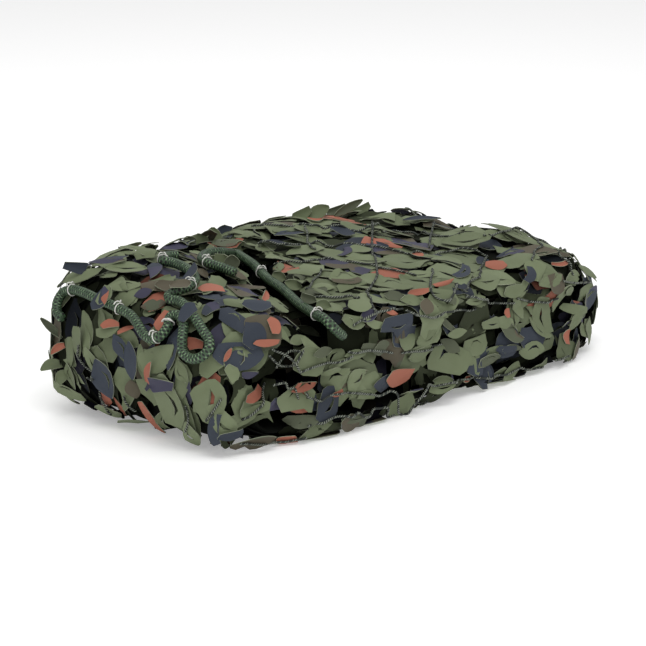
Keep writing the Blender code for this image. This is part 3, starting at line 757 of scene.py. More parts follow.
def side_spot(rng):
    """One place on the bundle's sides, or None where the ray misses."""
    angle = rng.uniform(0, 2 * math.pi)
    c, s = math.cos(angle), math.sin(angle)
    x = math.copysign(abs(c) ** (2 / RING_POWER), c)
    y = math.copysign(abs(s) ** (2 / RING_POWER), s)
    out = Vector((math.copysign(abs(x) ** (RING_POWER - 1), x) / RING_HALF[0],
                  math.copysign(abs(y) ** (RING_POWER - 1), y) / RING_HALF[1], 0)).normalized()
    start = Vector((x * RING_HALF[0], y * RING_HALF[1], rng.uniform(RING_LOW, RING_HIGH)))
    depths = [skin.ray_cast(start + Vector((0, 0, rise)), -out, RING_REACH)[3] or RING_REACH
              for rise in (0, RECESS_WIDE, -RECESS_WIDE)]
    if depths[0] == RING_REACH:
        return None
    tilt = SIDE_TILT * (start.z / RING_HIGH - SIDE_MIDDLE)
    normal = (out + Vector((0, 0, tilt))).normalized()
    kind = "end" if out.x < END_FACES else "side"
    if depths[0] > max(depths[1:]) + RECESS_DEEP:
        kind = "recess"
    return Spot(start - out * depths[0], normal, kind)


FLAT_SPOTS, FLAT_AREAS = flat_spots(cloth_mesh)
print("open faces:", len(FLAT_SPOTS), "area", round(sum(FLAT_AREAS), 3), "m2")

# %% [markdown]
# ## Ropes and cords as wrapped grids
# A rope is a grid wrapped round a line.  The line is a smooth curve through a few points;
# the grid's points stand off it by a radius with the cord's own ridges in it.  A curve
# object with a bevel would be quicker, but it has no ridges, and no UV map in metres that
# a stitch pattern could follow.

# %% Lines
CURVE_STEPS = 12         # between two of a line's given points


def through(points, step):
    """Points a step apart on a smooth curve through the given ones."""
    padded = [points[0], *points, points[-1]]
    dense = []
    for a, b, c, d in zip(padded, padded[1:], padded[2:], padded[3:]):
        for k in range(CURVE_STEPS):
            t = k / CURVE_STEPS
            dense.append(0.5 * (2 * b + (c - a) * t + (2 * a - 5 * b + 4 * c - d) * t * t
                                + (3 * b - a - 3 * c + d) * t ** 3))
    dense.append(points[-1])
    length = sum((q - p).length for p, q in zip(dense, dense[1:]))
    count = max(2, round(length / step))
    out, walked, want = [dense[0]], 0.0, length / count
    for p, q in zip(dense, dense[1:]):
        gap = (q - p).length
        while walked + gap >= want - 1e-9 and len(out) < count + 1:
            out.append(p.lerp(q, (want - walked) / gap if gap else 0))
            want += length / count
        walked += gap
    return out


def frames_along(line):
    """Each place of a line with two directions across it, and how far along it is."""
    walked, normal, frames = 0.0, None, []
    for i, place in enumerate(line):
        along = (line[min(i + 1, len(line) - 1)] - line[max(i - 1, 0)]).normalized()
        if normal is None:
            normal = along.orthogonal().normalized()
        normal = (normal - along * normal.dot(along)).normalized()
        if i:
            walked += (place - line[i - 1]).length
        frames.append((place, normal.copy(), along.cross(normal), walked))
    return frames


STRAIGHT = [Vector((0, 0, 0)), Vector((0, 0, 1))]
print("a curve through two points a metre apart has", len(through(STRAIGHT, 0.1)), "points")

# %% [markdown]
# The grid's two long sides meet and are merged to a seam, and its ends are narrow rings
# that are filled.  Its UV map counts metres along the line and turns round it.

# %% Tubes
END_TAPER = 0.35         # the first and the last ring are this narrow
RIM_SIDES = 64           # an open rim with no more sides than this is closed


def tube(bm, line, radius, sides, ridge):
    """Wraps a grid round the line; ridge gives the share by which it stands out there."""
    uv = bm.loops.layers.uv["wrap"]
    frames = frames_along(line)
    places = grid_places(bm, len(line) - 1, sides)
    for vert, (i, j) in places.items():
        place, first, second, far = frames[i]
        angle = 2 * math.pi * j / sides
        reach = radius * (1 + ridge(far, angle))
        if i in (0, len(line) - 1):
            reach *= END_TAPER
        vert.co = place + (first * math.cos(angle) + second * math.sin(angle)) * reach
    for face in {face for vert in places for face in vert.link_faces}:
        face.smooth = True
        for loop in face.loops:
            i, j = places[loop.vert]
            loop[uv].uv = frames[i][3], j / sides
    bmesh.ops.remove_doubles(bm, verts=list(places), dist=MERGE)


def strands():
    """An empty bmesh that tubes can be added to."""
    bm = bmesh.new()
    bm.loops.layers.uv.new("wrap")
    return bm


def finished(bm, name):
    """Closes what is open, turns every face outwards and makes the object."""
    rims = [edge for edge in bm.edges if len(edge.link_faces) == 1]
    if rims:
        bmesh.ops.holes_fill(bm, edges=rims, sides=RIM_SIDES)
    bmesh.ops.recalc_face_normals(bm, faces=bm.faces)
    return link(name, to_mesh(bm, name))


bm = strands()
tube(bm, through(STRAIGHT, 0.1), 0.01, 6, lambda far, angle: 0)
print("a plain tube a metre long has", len(bm.faces), "faces before its ends are closed")
bm.free()


# %% [markdown]
# ## The border rope
# It runs round the net's edge, and shows in two places: over the edge of the top layer,
# and in loops on the step beside it.  A rope could be dropped by a simulation, but then
# nobody knows where it comes to lie.  So its route is a given list, and each point
# is then set on the cloth, the same way as for the solid.

# %% Routes of the rope
UPPER_ROUTE = [
    (-0.168, -0.022, 0.147), (-0.169, -0.001, 0.150), (-0.170, 0.014, 0.151),
    (-0.158, 0.035, 0.150), (-0.133, 0.053, 0.148), (-0.110, 0.056, 0.145), (-0.066, 0.080, 0.132),
    (-0.075, 0.056, 0.132), (-0.086, 0.031, 0.131), (-0.097, 0.011, 0.129), (-0.109, -0.013, 0.127),
    (-0.124, -0.046, 0.126), (-0.142, -0.081, 0.123), (-0.153, -0.105, 0.122),
    (-0.164, -0.132, 0.121), (-0.169, -0.153, 0.116), (-0.152, -0.153, 0.103),
]
LOWER_ROUTE = [
    (-0.174, 0.054, 0.153), (-0.185, 0.055, 0.155), (-0.204, 0.044, 0.157), (-0.211, 0.032, 0.157),
    (-0.207, 0.024, 0.156), (-0.211, 0.000, 0.154), (-0.222, -0.021, 0.152),
    (-0.240, -0.034, 0.149), (-0.255, -0.034, 0.147), (-0.263, -0.028, 0.143),
    (-0.269, -0.030, 0.141), (-0.267, -0.043, 0.141), (-0.270, -0.056, 0.138),
    (-0.277, -0.073, 0.134), (-0.281, -0.086, 0.128), (-0.284, -0.098, 0.120),
    (-0.286, -0.106, 0.114), (-0.292, -0.108, 0.107), (-0.296, -0.101, 0.100),
    (-0.299, -0.092, 0.099), (-0.299, -0.084, 0.102), (-0.297, -0.080, 0.110),
    (-0.292, -0.075, 0.118), (-0.286, -0.071, 0.124), (-0.282, -0.065, 0.129),
    (-0.281, -0.057, 0.132), (-0.282, -0.051, 0.131), (-0.286, -0.050, 0.126),
    (-0.290, -0.053, 0.121), (-0.295, -0.053, 0.116), (-0.298, -0.048, 0.111),
    (-0.299, -0.038, 0.108), (-0.298, -0.027, 0.111), (-0.295, -0.016, 0.118),
    (-0.291, -0.001, 0.124), (-0.290, 0.017, 0.127), (-0.289, 0.033, 0.129), (-0.288, 0.053, 0.131),
    (-0.285, 0.071, 0.132), (-0.282, 0.092, 0.131), (-0.282, 0.106, 0.125), (-0.288, 0.107, 0.118),
    (-0.294, 0.101, 0.108), (-0.297, 0.091, 0.105),
]
print("points of the routes:", len(UPPER_ROUTE), "and", len(LOWER_ROUTE))

# %% [markdown]
# Each point goes to the nearest place a rope's radius off the cloth.  Between the points the
# curve may still dip into the cloth, so it is pushed out again and again until it lies on
# top all along.

# %% Set the rope on the cloth
ROPE, ROPE_LIFT, ROPE_STEP = 0.010, 0.0034, 0.011
BEHIND_EDGE = -0.7         # a place off a sharp edge may lie this far behind the nearest face
SETTLINGS = 12             # rounds of pushing the line out of the cloth


def solid_cloth():
    """The solid's own surface, for setting ropes on it."""
    bm = wrapped()
    bm.normal_update()
    tree = BVHTree.FromBMesh(bm)
    bm.free()
    return tree


def laid_rope(route, surface):
    """The rope's middle line, a rope's radius and a little more above the surface."""
    above = ROPE / 2 + ROPE_LIFT

    def at_rest(point, only_up=False):
        near, normal, _, gap = surface.find_nearest(point)
        outside = (point - near).normalized().dot(normal) > BEHIND_EDGE
        if only_up and outside and gap >= above:
            return point
        way = (point - near).normalized() if outside and gap > ROPE_LIFT else normal
        return near + way * above

    line = through([at_rest(Vector(place) + FOLD_MOVE) for place in route], ROPE_STEP)
    for _ in range(SETTLINGS):
        line = [at_rest(point, True) for point in line]
        for k in range(len(line) - 1):
            middle = (line[k] + line[k + 1]) / 2
            push = at_rest(middle, True) - middle
            line[k] += push / 2
            line[k + 1] += push / 2
    return line


SOLID = solid_cloth()
ROPE_LINES = {
    "edge_rope_upper": laid_rope(UPPER_ROUTE, SOLID),
    "edge_rope_lower": laid_rope(LOWER_ROUTE, SOLID),
}


# %% [markdown]
# ## The courses
# Each course scatters leaves evenly over the bundle, a few centimetres apart, and lays
# them on the heap so far.  Round the sides they lie along the folds, and at the left end,
# where the net hangs over its own turns, they point down.  The lower courses lie in
# shadow, and that shade is painted on them: they're darker, and show as the dark between
# the leaves.

# %% Kinds of leaves
SEED = 22
# Each course's value darkens its leaves: painted shade, deepest on the lowest courses.
COURSE_SHADES = (0.03, 0.045, 0.06, 0.22, 0.74, 0.97, 1.0)     # one for each course
SHADED_COURSES = 3
SPACINGS = (0.036, 0.026)      # of the dark courses, and of the bright ones
TRIES = 3400
JITTER = 0.006
KINDS = {
    # lengths, widths as shares of them, turn from the usual way, looks
    "top": ((0.029, 0.054), (0.65, 1.15), 30,
            dict(olive=74, slate=10, rust=2, purple=6, mixed=4, brown=4)),
    "side": ((0.023, 0.046), (0.50, 0.95), 40,
             dict(olive=72, slate=11, rust=2, purple=6, mixed=4, brown=5)),
    "recess": ((0.030, 0.045), (0.50, 0.90), 40, dict(olive=90, slate=10)),
    "end": ((0.026, 0.056), (0.40, 0.78), 32,
            dict(olive=72, slate=11, rust=2, purple=7, mixed=4, brown=4)),
    "shelf": ((0.023, 0.041), (0.60, 1.05), 180,
              dict(olive=63, slate=8, purple=5, brown=7, rust=4, mixed=8, print=3, dull=2)),
    "under": ((0.050, 0.066), (0.60, 0.90), 180, dict(olive=90, slate=6, brown=4)),
}
STROKE_SHARES = dict(arc=30, fan=14, straight=18, corner=12, taper=8, notch=6, wave=6, hollow=6)
SLIT_SHARE = 0.55
print("kinds of leaves:", *KINDS)

# %% [markdown]
# One leaf is drawn from its kind's ranges.  The leaves of the dark courses are flat and have
# no slit, because so little of them shows.

# %% Draw a leaf
BENDS, SKEWS, SLOPES = (-0.12, 0.25), (-1, 1), (0.10, 0.32)
FOLD_STARTS, FOLD_RISES = (0.10, 0.45), (-0.15, 0.25)
CURLS, CUPS = (-0.001, 0.003), (-0.002, 0.003)
UPWARD = 0.25                  # how much the leaves round the sides point up
END_LIFTS = 0.003              # where the underside lifts more, leaves are cut short
END_LOW, END_LEAST = 0.008, 0.012    # how far off the floor, but at least so long
END_SPARE = 1.5


def pick(rng, shares):
    return rng.choices(list(shares), weights=list(shares.values()))[0]


def usual_way(spot):
    """The way most leaves of this part point."""
    if spot.kind == "end":
        way = Vector((0, 0, -1))
    elif spot.kind in ("side", "recess"):
        way = Vector((0, 0, 1)).cross(spot.normal) + Vector((0, 0, UPWARD))
    else:
        way = RIGHT
    return (way - spot.normal * way.dot(spot.normal)).normalized()


def leaf_at(spot, dark, rng):
    """A leaf of the spot's kind; the dark ones, which hardly show, are plain."""
    lengths, widths, turn, looks = KINDS[spot.kind]
    lean = usual_way(spot) * (rng.choice((-1, 1)) if spot.kind != "end" else 1)
    lean = Matrix.Rotation(math.radians(rng.uniform(-turn, turn)), 3, spot.normal) @ lean
    length = rng.uniform(*lengths)
    lift = off_floor(spot.place)
    if spot.kind == "end" or lift > END_LIFTS:
        room = spot.place.z - END_LOW - END_SPARE * lift
        length = min(length, 2 * max(room, END_LEAST))
    slit = 0 if dark or rng.random() > SLIT_SHARE else rng.choice((-1, 1))
    shape = pick(rng, STROKE_SHARES), pick(rng, STROKE_SHARES), rng.uniform(*BENDS), slit
    width = length * rng.uniform(*widths)
    fold = rng.uniform(0, 2 * math.pi), rng.uniform(*FOLD_STARTS), rng.uniform(*FOLD_RISES)
    curl, cup = rng.uniform(*CURLS), rng.uniform(*CUPS)
    if dark:
        fold, curl, cup = (0, 1, 0), 0, 0
    return Leaf(place=spot.place - lean * length / 2, normal=spot.normal, lean=lean, shape=shape,
                length=length, width=width, skew=rng.uniform(*SKEWS), curl=curl, cup=cup,
                fold=fold, look=pick(rng, looks), slope=rng.uniform(*SLOPES))


sample = leaf_at(FLAT_SPOTS[0], False, random.Random(SEED))
print("a leaf:", sample.look, [round(1000 * size) for size in (sample.length, sample.width)], "mm")


# %% [markdown]
# The places of a course are drawn at random, half of them by the area of the open faces and
# half from the ring around the sides.  A place too near to one that is kept is dropped, and
# a table of cells keeps that quick.

# %% Scatter
def scattered(tries, spacing, rng):
    """Places at random all over the bundle, no two closer than the spacing."""
    places = rng.choices(FLAT_SPOTS, weights=FLAT_AREAS, k=tries)
    places += [spot for spot in (side_spot(rng) for _ in range(tries)) if spot]
    rng.shuffle(places)
    kept, cells = [], {}
    for spot in places:
        jitter = Vector([rng.uniform(-1, 1) for _ in range(3)]) * JITTER
        place = spot.place + jitter - spot.normal * jitter.dot(spot.normal)
        cell = tuple(math.floor(c / spacing) for c in place)
        near = [other for step in product((-1, 0, 1), repeat=3)
                for other in cells.get(tuple(c + d for c, d in zip(cell, step)), ())]
        if any((place - other).length < spacing for other in near):
            continue
        cells.setdefault(cell, []).append(place)
        kept.append(spot._replace(place=place))
    return kept


few = scattered(TRIES // 20, SPACINGS[0], random.Random(SEED))
print("of", 2 * (TRIES // 20), "places tried,", len(few), "are far enough apart")


# %% [markdown]
# The border rope is laid before it's built, so that the leaves leave it free.  A leaf that
# runs into it or would hide it is turned or left out.

# %% Keep the rope free
ROPE_CLEAR = 0.0062            # a leaf comes no nearer to the rope's middle line
ROPE_OPEN, ROPE_SIGHT = 0.008, 0.04    # and isn't over it, this wide and this high
ROPE_PARTS = 4

rope_points = [p.lerp(q, k / ROPE_PARTS) for line in ROPE_LINES.values()
               for p, q in zip(line, line[1:]) for k in range(ROPE_PARTS)]


def tree_of(places):
    """A tree that finds the nearest of some places."""
    tree = KDTree(len(places))
    for k, place in enumerate(places):
        tree.insert(place, k)
    tree.balance()
    return tree


rope_tree = tree_of(rope_points)
flat_ropes = tree_of([(point.x, point.y, 0) for point in rope_points])


def spoils_rope(leaf, points):
    """True where a leaf runs into the rope or would hide it."""
    for point in points.reshape(-1, 3):
        if rope_tree.find(point)[2] < ROPE_CLEAR:
            return True
        _, k, gap = flat_ropes.find((point[0], point[1], 0))
        if gap < ROPE_OPEN and rope_points[k].z < point[2] < rope_points[k].z + ROPE_SIGHT:
            return True
    return False


print("points along the rope:", len(rope_points))

# %% [markdown]
# The heap grows with each course.  A bright course skips a share of its places, so that
# the dark ones show between its leaves.  The share is less on the sides that the camera
# doesn't see, where no listed leaf is laid.

# %% Lay the courses
BARE = {"end": 0.40, "side": 0.48, "top": 0.47, "shelf": 0.0}
BEHIND_SHARE = 0.5

heap_points, heap_faces = [], []


def add_to_heap(mesh):
    """Adds a mesh to what later leaves lie on."""
    start = len(heap_points)
    heap_points.extend(v.co.copy() for v in mesh.vertices)
    heap_faces.extend([start + k for k in face.vertices] for face in mesh.polygons)
    return BVHTree.FromPolygons(heap_points, heap_faces)


def laid_course(name, leaves, heap, rng, number, shade_and_tone=1.0, refuse=spoils_rope):
    bm, laid = course(leaves, heap, rng, number, shade_and_tone, refuse)
    piece = link(name, to_mesh(bm, name))
    print(name, "leaves:", laid, "faces:", len(piece.data.polygons))
    return piece


def is_bare(spot, rng):
    share = BARE.get(spot.kind, 1)
    if spot.normal.dot(BACK) < 0:
        share *= BEHIND_SHARE
    return rng.random() <= share


rng = random.Random(SEED)
leaf_pieces = []
heap = add_to_heap(cloth_mesh)
for number, shade_and_tone in enumerate(COURSE_SHADES, 1):
    dark = number <= SHADED_COURSES
    spots = scattered(TRIES, SPACINGS[not dark], rng)
    if not dark:
        spots = [spot for spot in spots if not is_bare(spot, rng)]
    leaves = [leaf_at(spot, dark, rng) for spot in spots]
    piece = laid_course(f"leaves_{number}", leaves, heap, rng, number, shade_and_tone)
    heap = add_to_heap(piece.data)
    leaf_pieces.append(piece)

# %% [markdown]
# ## Leaves that catch the eye
# Chance lays most leaves.  The large plain ones, the rust ones and the printed sides that
# a viewer notices first are listed and laid one by one, in three rounds.  Each row gives where
# a leaf's middle shows in the view, which way it points there in degrees, how long and wide it
# looks, how its left and right sides are cut, and its look.

# %% Plain leaves
# Several dull leaves in the band under the flap's edge stand for the shadow there: their darker
# colour is painted shade.
# across, down, turn, length, width, left and right stroke, look
PLAIN_LEAVES = (
    (208, 402, 80, 44, 40, "arc fan", "olive"), (172, 400, -80, 54, 32, "straight arc", "olive"),
    (163, 356, 35, 40, 30, "arc taper", "olive"), (294, 398, 5, 38, 28, "straight fan", "olive"),
    (447, 359, 10, 50, 36, "fan nick", "olive"), (410, 376, 70, 30, 20, "arc arc", "olive"),
    (357, 379, 40, 26, 20, "taper arc", "olive"), (330, 374, 20, 26, 18, "arc straight", "olive"),
    (538, 315, -75, 38, 24, "arc straight", "olive"), (482, 281, 15, 32, 24, "arc fan", "olive"),
    (389, 237, 0, 50, 15, "arc wave", "olive"), (466, 243, 0, 50, 18, "fan arc", "olive"),
    (507, 238, -8, 46, 19, "arc arc", "olive"), (407, 263, 2, 52, 22, "arc nick", "olive"),
    (448, 263, -25, 28, 20, "taper arc", "olive"), (534, 270, 60, 24, 20, "straight arc", "olive"),
    (551, 283, 0, 24, 17, "fan arc", "olive"), (591, 331, 75, 30, 14, "arc arc", "olive"),
    (531, 350, 5, 28, 17, "arc arc", "olive"), (511, 331, -30, 28, 18, "arc taper", "dull"),
    (359, 251, 5, 24, 14, "arc arc", "olive"), (290, 231, 8, 36, 14, "fan arc", "olive"),
    (269, 221, 10, 32, 12, "arc arc", "olive"), (134, 275, 5, 36, 15, "arc arc", "olive"),
    (86, 280, 20, 32, 15, "arc straight", "olive"), (262, 332, -40, 40, 40, "arc arc", "brown"),
    (238, 355, 0, 46, 28, "arc straight", "slate"),
    (291, 316, -20, 30, 18, "straight arc", "brown"), (310, 329, -15, 32, 16, "arc wave", "dull"),
    (425, 307, 80, 17, 15, "arc arc", "brown"), (366, 262, 4, 40, 14, "arc fan", "olive"),
    (392, 285, 0, 40, 16, "arc arc", "olive"), (352, 287, 8, 34, 14, "taper arc", "olive"),
    (470, 345, 15, 30, 20, "arc straight", "olive"), (553, 279, 0, 22, 14, "arc straight", "olive"),
    (571, 279, 20, 22, 16, "fan arc", "olive"), (588, 272, -35, 20, 14, "arc corner", "olive"),
    (574, 320, 60, 24, 12, "arc arc", "olive"), (496, 338, 5, 22, 8, "straight arc", "dull"),
    (491, 323, 0, 26, 13, "straight fan", "olive"), (417, 353, 15, 24, 16, "arc straight", "olive"),
    (367, 347, -5, 18, 10, "straight straight", "dull"),
    (448, 325, -30, 18, 8, "arc taper", "dull"), (341, 363, 15, 26, 8, "taper arc", "olive"),
    (552, 290, 0, 14, 10, "straight arc", "olive"), (502, 365, 15, 28, 11, "arc straight", "olive"),
    (441, 381, 0, 20, 9, "straight arc", "olive"), (367, 396, -20, 22, 12, "taper arc", "olive"),
    (344, 279, 0, 30, 20, "arc nick", "olive"), (371, 281, 0, 24, 17, "arc arc", "olive"),
    (416, 281, 5, 30, 12, "straight arc", "olive"),
    (391, 298, -10, 20, 12, "straight corner", "dull"), (408, 300, 0, 22, 11, "arc arc", "olive"),
    (500, 322, -20, 26, 14, "arc corner", "olive"),
    (533, 326, -50, 26, 12, "arc straight", "olive"), (455, 300, 0, 22, 9, "arc corner", "dull"),
    (475, 300, 10, 26, 9, "arc arc", "olive"), (81, 342, 75, 32, 13, "arc straight", "olive"),
    (56, 372, 80, 34, 10, "arc straight", "olive"), (96, 364, -80, 34, 11, "arc arc", "olive"),
    (73, 388, -40, 34, 10, "arc straight", "olive"),
    (110, 409, -30, 26, 12, "arc straight", "olive"), (136, 419, -20, 30, 13, "taper arc", "olive"),
    (128, 352, -75, 28, 12, "arc arc", "olive"), (110, 331, 20, 24, 13, "arc taper", "olive"),
    (211, 365, 40, 24, 20, "straight arc", "olive"),
    (233, 372, -60, 16, 12, "straight corner", "olive"),
    (193, 432, -70, 28, 16, "arc arc", "olive"), (252, 404, 15, 30, 14, "straight arc", "olive"),
    (225, 418, -45, 40, 24, "arc straight", "olive"),
    (146, 254, 10, 22, 13, "straight arc", "olive"), (171, 243, 15, 26, 8, "arc straight", "olive"),
    (237, 246, 5, 28, 10, "straight arc", "olive"),
    (177, 272, 20, 20, 18, "straight corner", "olive"), (126, 284, 5, 34, 13, "arc arc", "olive"),
    (312, 270, 0, 24, 14, "arc straight", "olive"),
    (235, 304, -15, 22, 12, "straight arc", "olive"),
    (308, 230, 0, 28, 18, "arc straight", "olive"), (210, 250, 0, 24, 10, "arc arc", "olive"),
    (188, 248, 5, 22, 10, "arc corner", "olive"), (357, 418, 10, 34, 9, "arc taper", "dull"),
    (337, 301, 10, 26, 11, "straight arc", "olive"), (358, 306, 0, 22, 14, "arc straight", "olive"),
    (372, 327, 5, 22, 9, "arc taper", "olive"), (341, 334, 15, 22, 9, "straight arc", "olive"),
    (354, 354, 0, 24, 9, "arc arc", "olive"), (280, 268, 5, 26, 14, "arc arc", "olive"),
    (302, 274, 0, 26, 10, "straight arc", "olive"),
    (290, 286, -10, 22, 11, "arc straight", "olive"), (309, 296, 10, 22, 11, "arc arc", "olive"),
    (322, 288, -5, 24, 11, "arc corner", "olive"), (325, 300, 10, 20, 9, "straight arc", "olive"),
    (270, 275, 20, 20, 12, "arc arc", "brown"), (288, 303, -15, 18, 10, "arc arc", "olive"),
    (262, 272, 0, 20, 10, "arc straight", "olive"),
    (306, 345, -30, 22, 12, "arc straight", "olive"), (322, 352, 10, 20, 9, "arc arc", "dull"),
    (296, 340, 20, 18, 10, "arc arc", "olive"), (330, 372, 10, 18, 8, "arc arc", "olive"),
    (512, 292, 10, 24, 14, "arc straight", "olive"), (517, 307, -60, 24, 12, "arc arc", "olive"),
    (438, 388, 15, 28, 13, "arc straight", "olive"), (486, 359, 10, 28, 11, "arc arc", "dull"),
    (399, 402, 12, 30, 11, "arc straight", "olive"),
    (352, 322, -10, 22, 14, "arc straight", "olive"), (367, 316, 30, 18, 12, "arc arc", "purple"),
    (441, 320, 0, 22, 12, "arc corner", "olive"), (182, 372, 60, 26, 16, "arc arc", "olive"),
    (428, 338, 20, 26, 14, "arc straight", "olive"), (447, 345, -30, 22, 13, "arc arc", "dull"),
    (415, 350, 0, 20, 12, "straight arc", "olive"), (456, 333, 10, 22, 10, "arc arc", "olive"),
    (566, 309, -10, 22, 12, "arc straight", "olive"),
    (71, 352, 80, 30, 11, "arc straight", "olive"), (77, 375, 80, 28, 11, "arc arc", "olive"),
    (300, 420, 5, 30, 12, "arc straight", "dull"), (408, 384, 20, 24, 12, "arc corner", "olive"),
)
print("plain leaves:", len(PLAIN_LEAVES))

# %% Printed leaves
PRINTED_LEAVES = (
    (127, 268, 8, 26, 12, "arc arc", "print"), (155, 270, -70, 22, 15, "straight arc", "purple"),
    (160, 290, 4, 30, 14, "straight fan", "brown"), (145, 295, 20, 17, 10, "arc arc", "purple"),
    (103, 303, 50, 22, 18, "fan arc", "mixed"), (115, 305, 70, 20, 12, "arc straight", "dull"),
    (140, 305, 80, 20, 14, "arc arc", "purple"), (154, 305, 15, 22, 14, "arc nick", "brown"),
    (182, 312, 40, 18, 14, "arc taper", "purple"), (190, 320, 10, 22, 12, "arc arc", "slate"),
    (211, 309, -20, 20, 16, "straight arc", "purple"),
    (233, 318, -35, 28, 20, "straight straight", "slate"),
    (256, 305, 0, 28, 18, "arc straight", "slate"), (239, 277, 0, 24, 12, "arc arc", "slate"),
    (254, 334, 80, 28, 24, "arc straight", "slate"), (250, 374, 10, 16, 9, "arc taper", "purple"),
    (325, 402, 45, 34, 26, "arc fan", "slate"), (252, 432, 0, 42, 17, "arc fan", "brown"),
    (107, 378, -72, 40, 22, "arc arc", "slate"), (135, 360, -80, 36, 14, "arc arc", "slate"),
    (120, 347, -65, 26, 12, "arc arc", "purple"),
    (162, 384, 10, 28, 16, "straight taper", "purple"), (134, 389, -80, 18, 14, "arc arc", "brown"),
    (342, 237, 0, 26, 8, "arc arc", "purple"), (345, 253, 60, 17, 12, "arc hollow", "purple"),
    (289, 235, 5, 30, 8, "arc wave", "slate"), (281, 250, 0, 40, 9, "taper arc", "slate"),
    (457, 276, 45, 26, 15, "arc hollow", "slate"), (482, 263, 40, 18, 13, "arc arc", "slate"),
    (525, 273, 60, 24, 13, "arc hollow", "slate"), (586, 301, 78, 34, 13, "arc arc", "purple"),
    (391, 327, 12, 34, 21, "fan straight", "slate"),
    (507, 350, 0, 24, 10, "arc straight", "purple"), (382, 383, 5, 32, 17, "arc arc", "slate"),
    (378, 347, 20, 20, 13, "arc arc", "brown"), (232, 435, 5, 24, 9, "arc straight", "slate"),
    (420, 225, 0, 40, 7, "arc arc", "slate"), (347, 281, 0, 26, 10, "arc hollow", "brown"),
)
print("printed leaves:", len(PRINTED_LEAVES))

# %% Rust leaves
RUST_LEAVES = (
    (129, 305, 80, 18, 13, "arc straight", "rust"), (112, 324, 10, 16, 9, "straight arc", "rust"),
    (128, 329, 15, 18, 6, "taper arc", "rust"), (166, 322, 60, 20, 13, "taper straight", "rust"),
    (210, 289, 0, 23, 17, "straight arc", "rust"), (211, 271, 10, 14, 8, "arc arc", "rust"),
    (197, 343, 10, 15, 14, "straight taper", "rust"), (265, 297, 85, 13, 8, "arc taper", "rust"),
    (274, 325, -70, 18, 12, "straight arc", "rust"), (265, 343, 0, 24, 8, "arc straight", "rust"),
    (228, 355, 60, 14, 5, "arc arc", "rust"), (252, 393, 15, 21, 9, "arc straight", "rust"),
    (303, 386, 12, 26, 8, "arc wave", "rust"), (274, 413, -20, 20, 17, "arc fan", "rust"),
    (337, 393, 20, 12, 6, "arc straight", "rust"), (155, 414, -60, 40, 9, "arc taper", "rust"),
    (149, 372, 60, 22, 9, "taper arc", "rust"), (339, 220, -3, 30, 6, "straight arc", "rust"),
    (315, 222, 8, 16, 6, "arc arc", "rust"), (417, 259, -10, 12, 6, "arc straight", "rust"),
    (444, 283, 25, 24, 7, "arc taper", "rust"), (495, 266, -10, 18, 14, "arc straight", "rust"),
    (558, 264, 10, 17, 7, "arc hollow", "rust"), (418, 293, 4, 20, 6, "arc straight", "rust"),
    (392, 313, 0, 14, 5, "arc arc", "rust"), (387, 369, -5, 29, 20, "arc straight", "rust"),
    (453, 376, 20, 12, 5, "arc arc", "rust"), (565, 336, 80, 15, 8, "taper arc", "rust"),
    (501, 311, 85, 9, 5, "straight arc", "rust"),
)
ROUNDS = PLAIN_LEAVES, PRINTED_LEAVES, RUST_LEAVES
print("laid by hand:", [len(rows) for rows in ROUNDS])

# %% [markdown]
# A line of sight finds where such a leaf lies on the heap, and its true size follows from
# how the heap is tilted there.  The tilt is the bundle's own, not that of the nearest
# leaf, so it's the mean of a few normals of open places nearby.

# %% Where a line of sight meets the heap
NEAR_MISS, NEAR_STEP, NEAR_REACH = 0.014, 0.01, 40    # a sight this near still finds the heap
HULL_EACH, HULL_TRIES, HULL_NEAR = 3, 3000, 8

hull_spots = FLAT_SPOTS[::HULL_EACH]
hull_rng = random.Random(SEED + 3)
hull_spots += [spot for spot in (side_spot(hull_rng) for _ in range(HULL_TRIES)) if spot]
hull_tree = tree_of([spot.place for spot in hull_spots])


def hull_normal(place):
    """Which way the bundle faces near a place."""
    near = hull_tree.find_n(place, HULL_NEAR)
    return sum((hull_spots[k].normal for _, k, _ in near), Vector()).normalized()


def seen_place(px, py, heap):
    """Where a line of sight meets the heap or just passes it."""
    place = heap.ray_cast(EYE, sight(px, py))[0]
    if place is None:
        along = (EYE + sight(px, py) * (DISTANCE + NEAR_STEP * k)
                 for k in range(-NEAR_REACH, NEAR_REACH + 1))
        near, _, _, gap = min((heap.find_nearest(point) for point in along), key=lambda hit: hit[3])
        place = near if gap < NEAR_MISS else None
    return place


print("open places:", len(hull_spots))

# %% [markdown]
# The sizes in the tables are as seen, so a leaf that lies slantwise is made longer by what
# the slant takes away.

# %% Lay listed leaves
PIXEL = DISTANCE * SENSOR / LENS / VIEW_SIDE     # metres across one point of the view
FACING = 0.45                                    # how much a listed leaf turns to the viewer
LEAST_SHARE = 0.42                               # a leaf is never made longer than this undoes
SLIT_FROM = 26                                   # two in three this long and longer are slit
HAND_BENDS, HAND_SKEWS, HAND_SLOPE = (-0.05, 0.10), (-0.6, 0.6), 0.14
HAND_STARTS, HAND_RISES = (0.05, 0.35), (-0.15, 0.35)
HAND_CURLS, HAND_CUPS = (0, 0.002), (-0.001, 0.002)


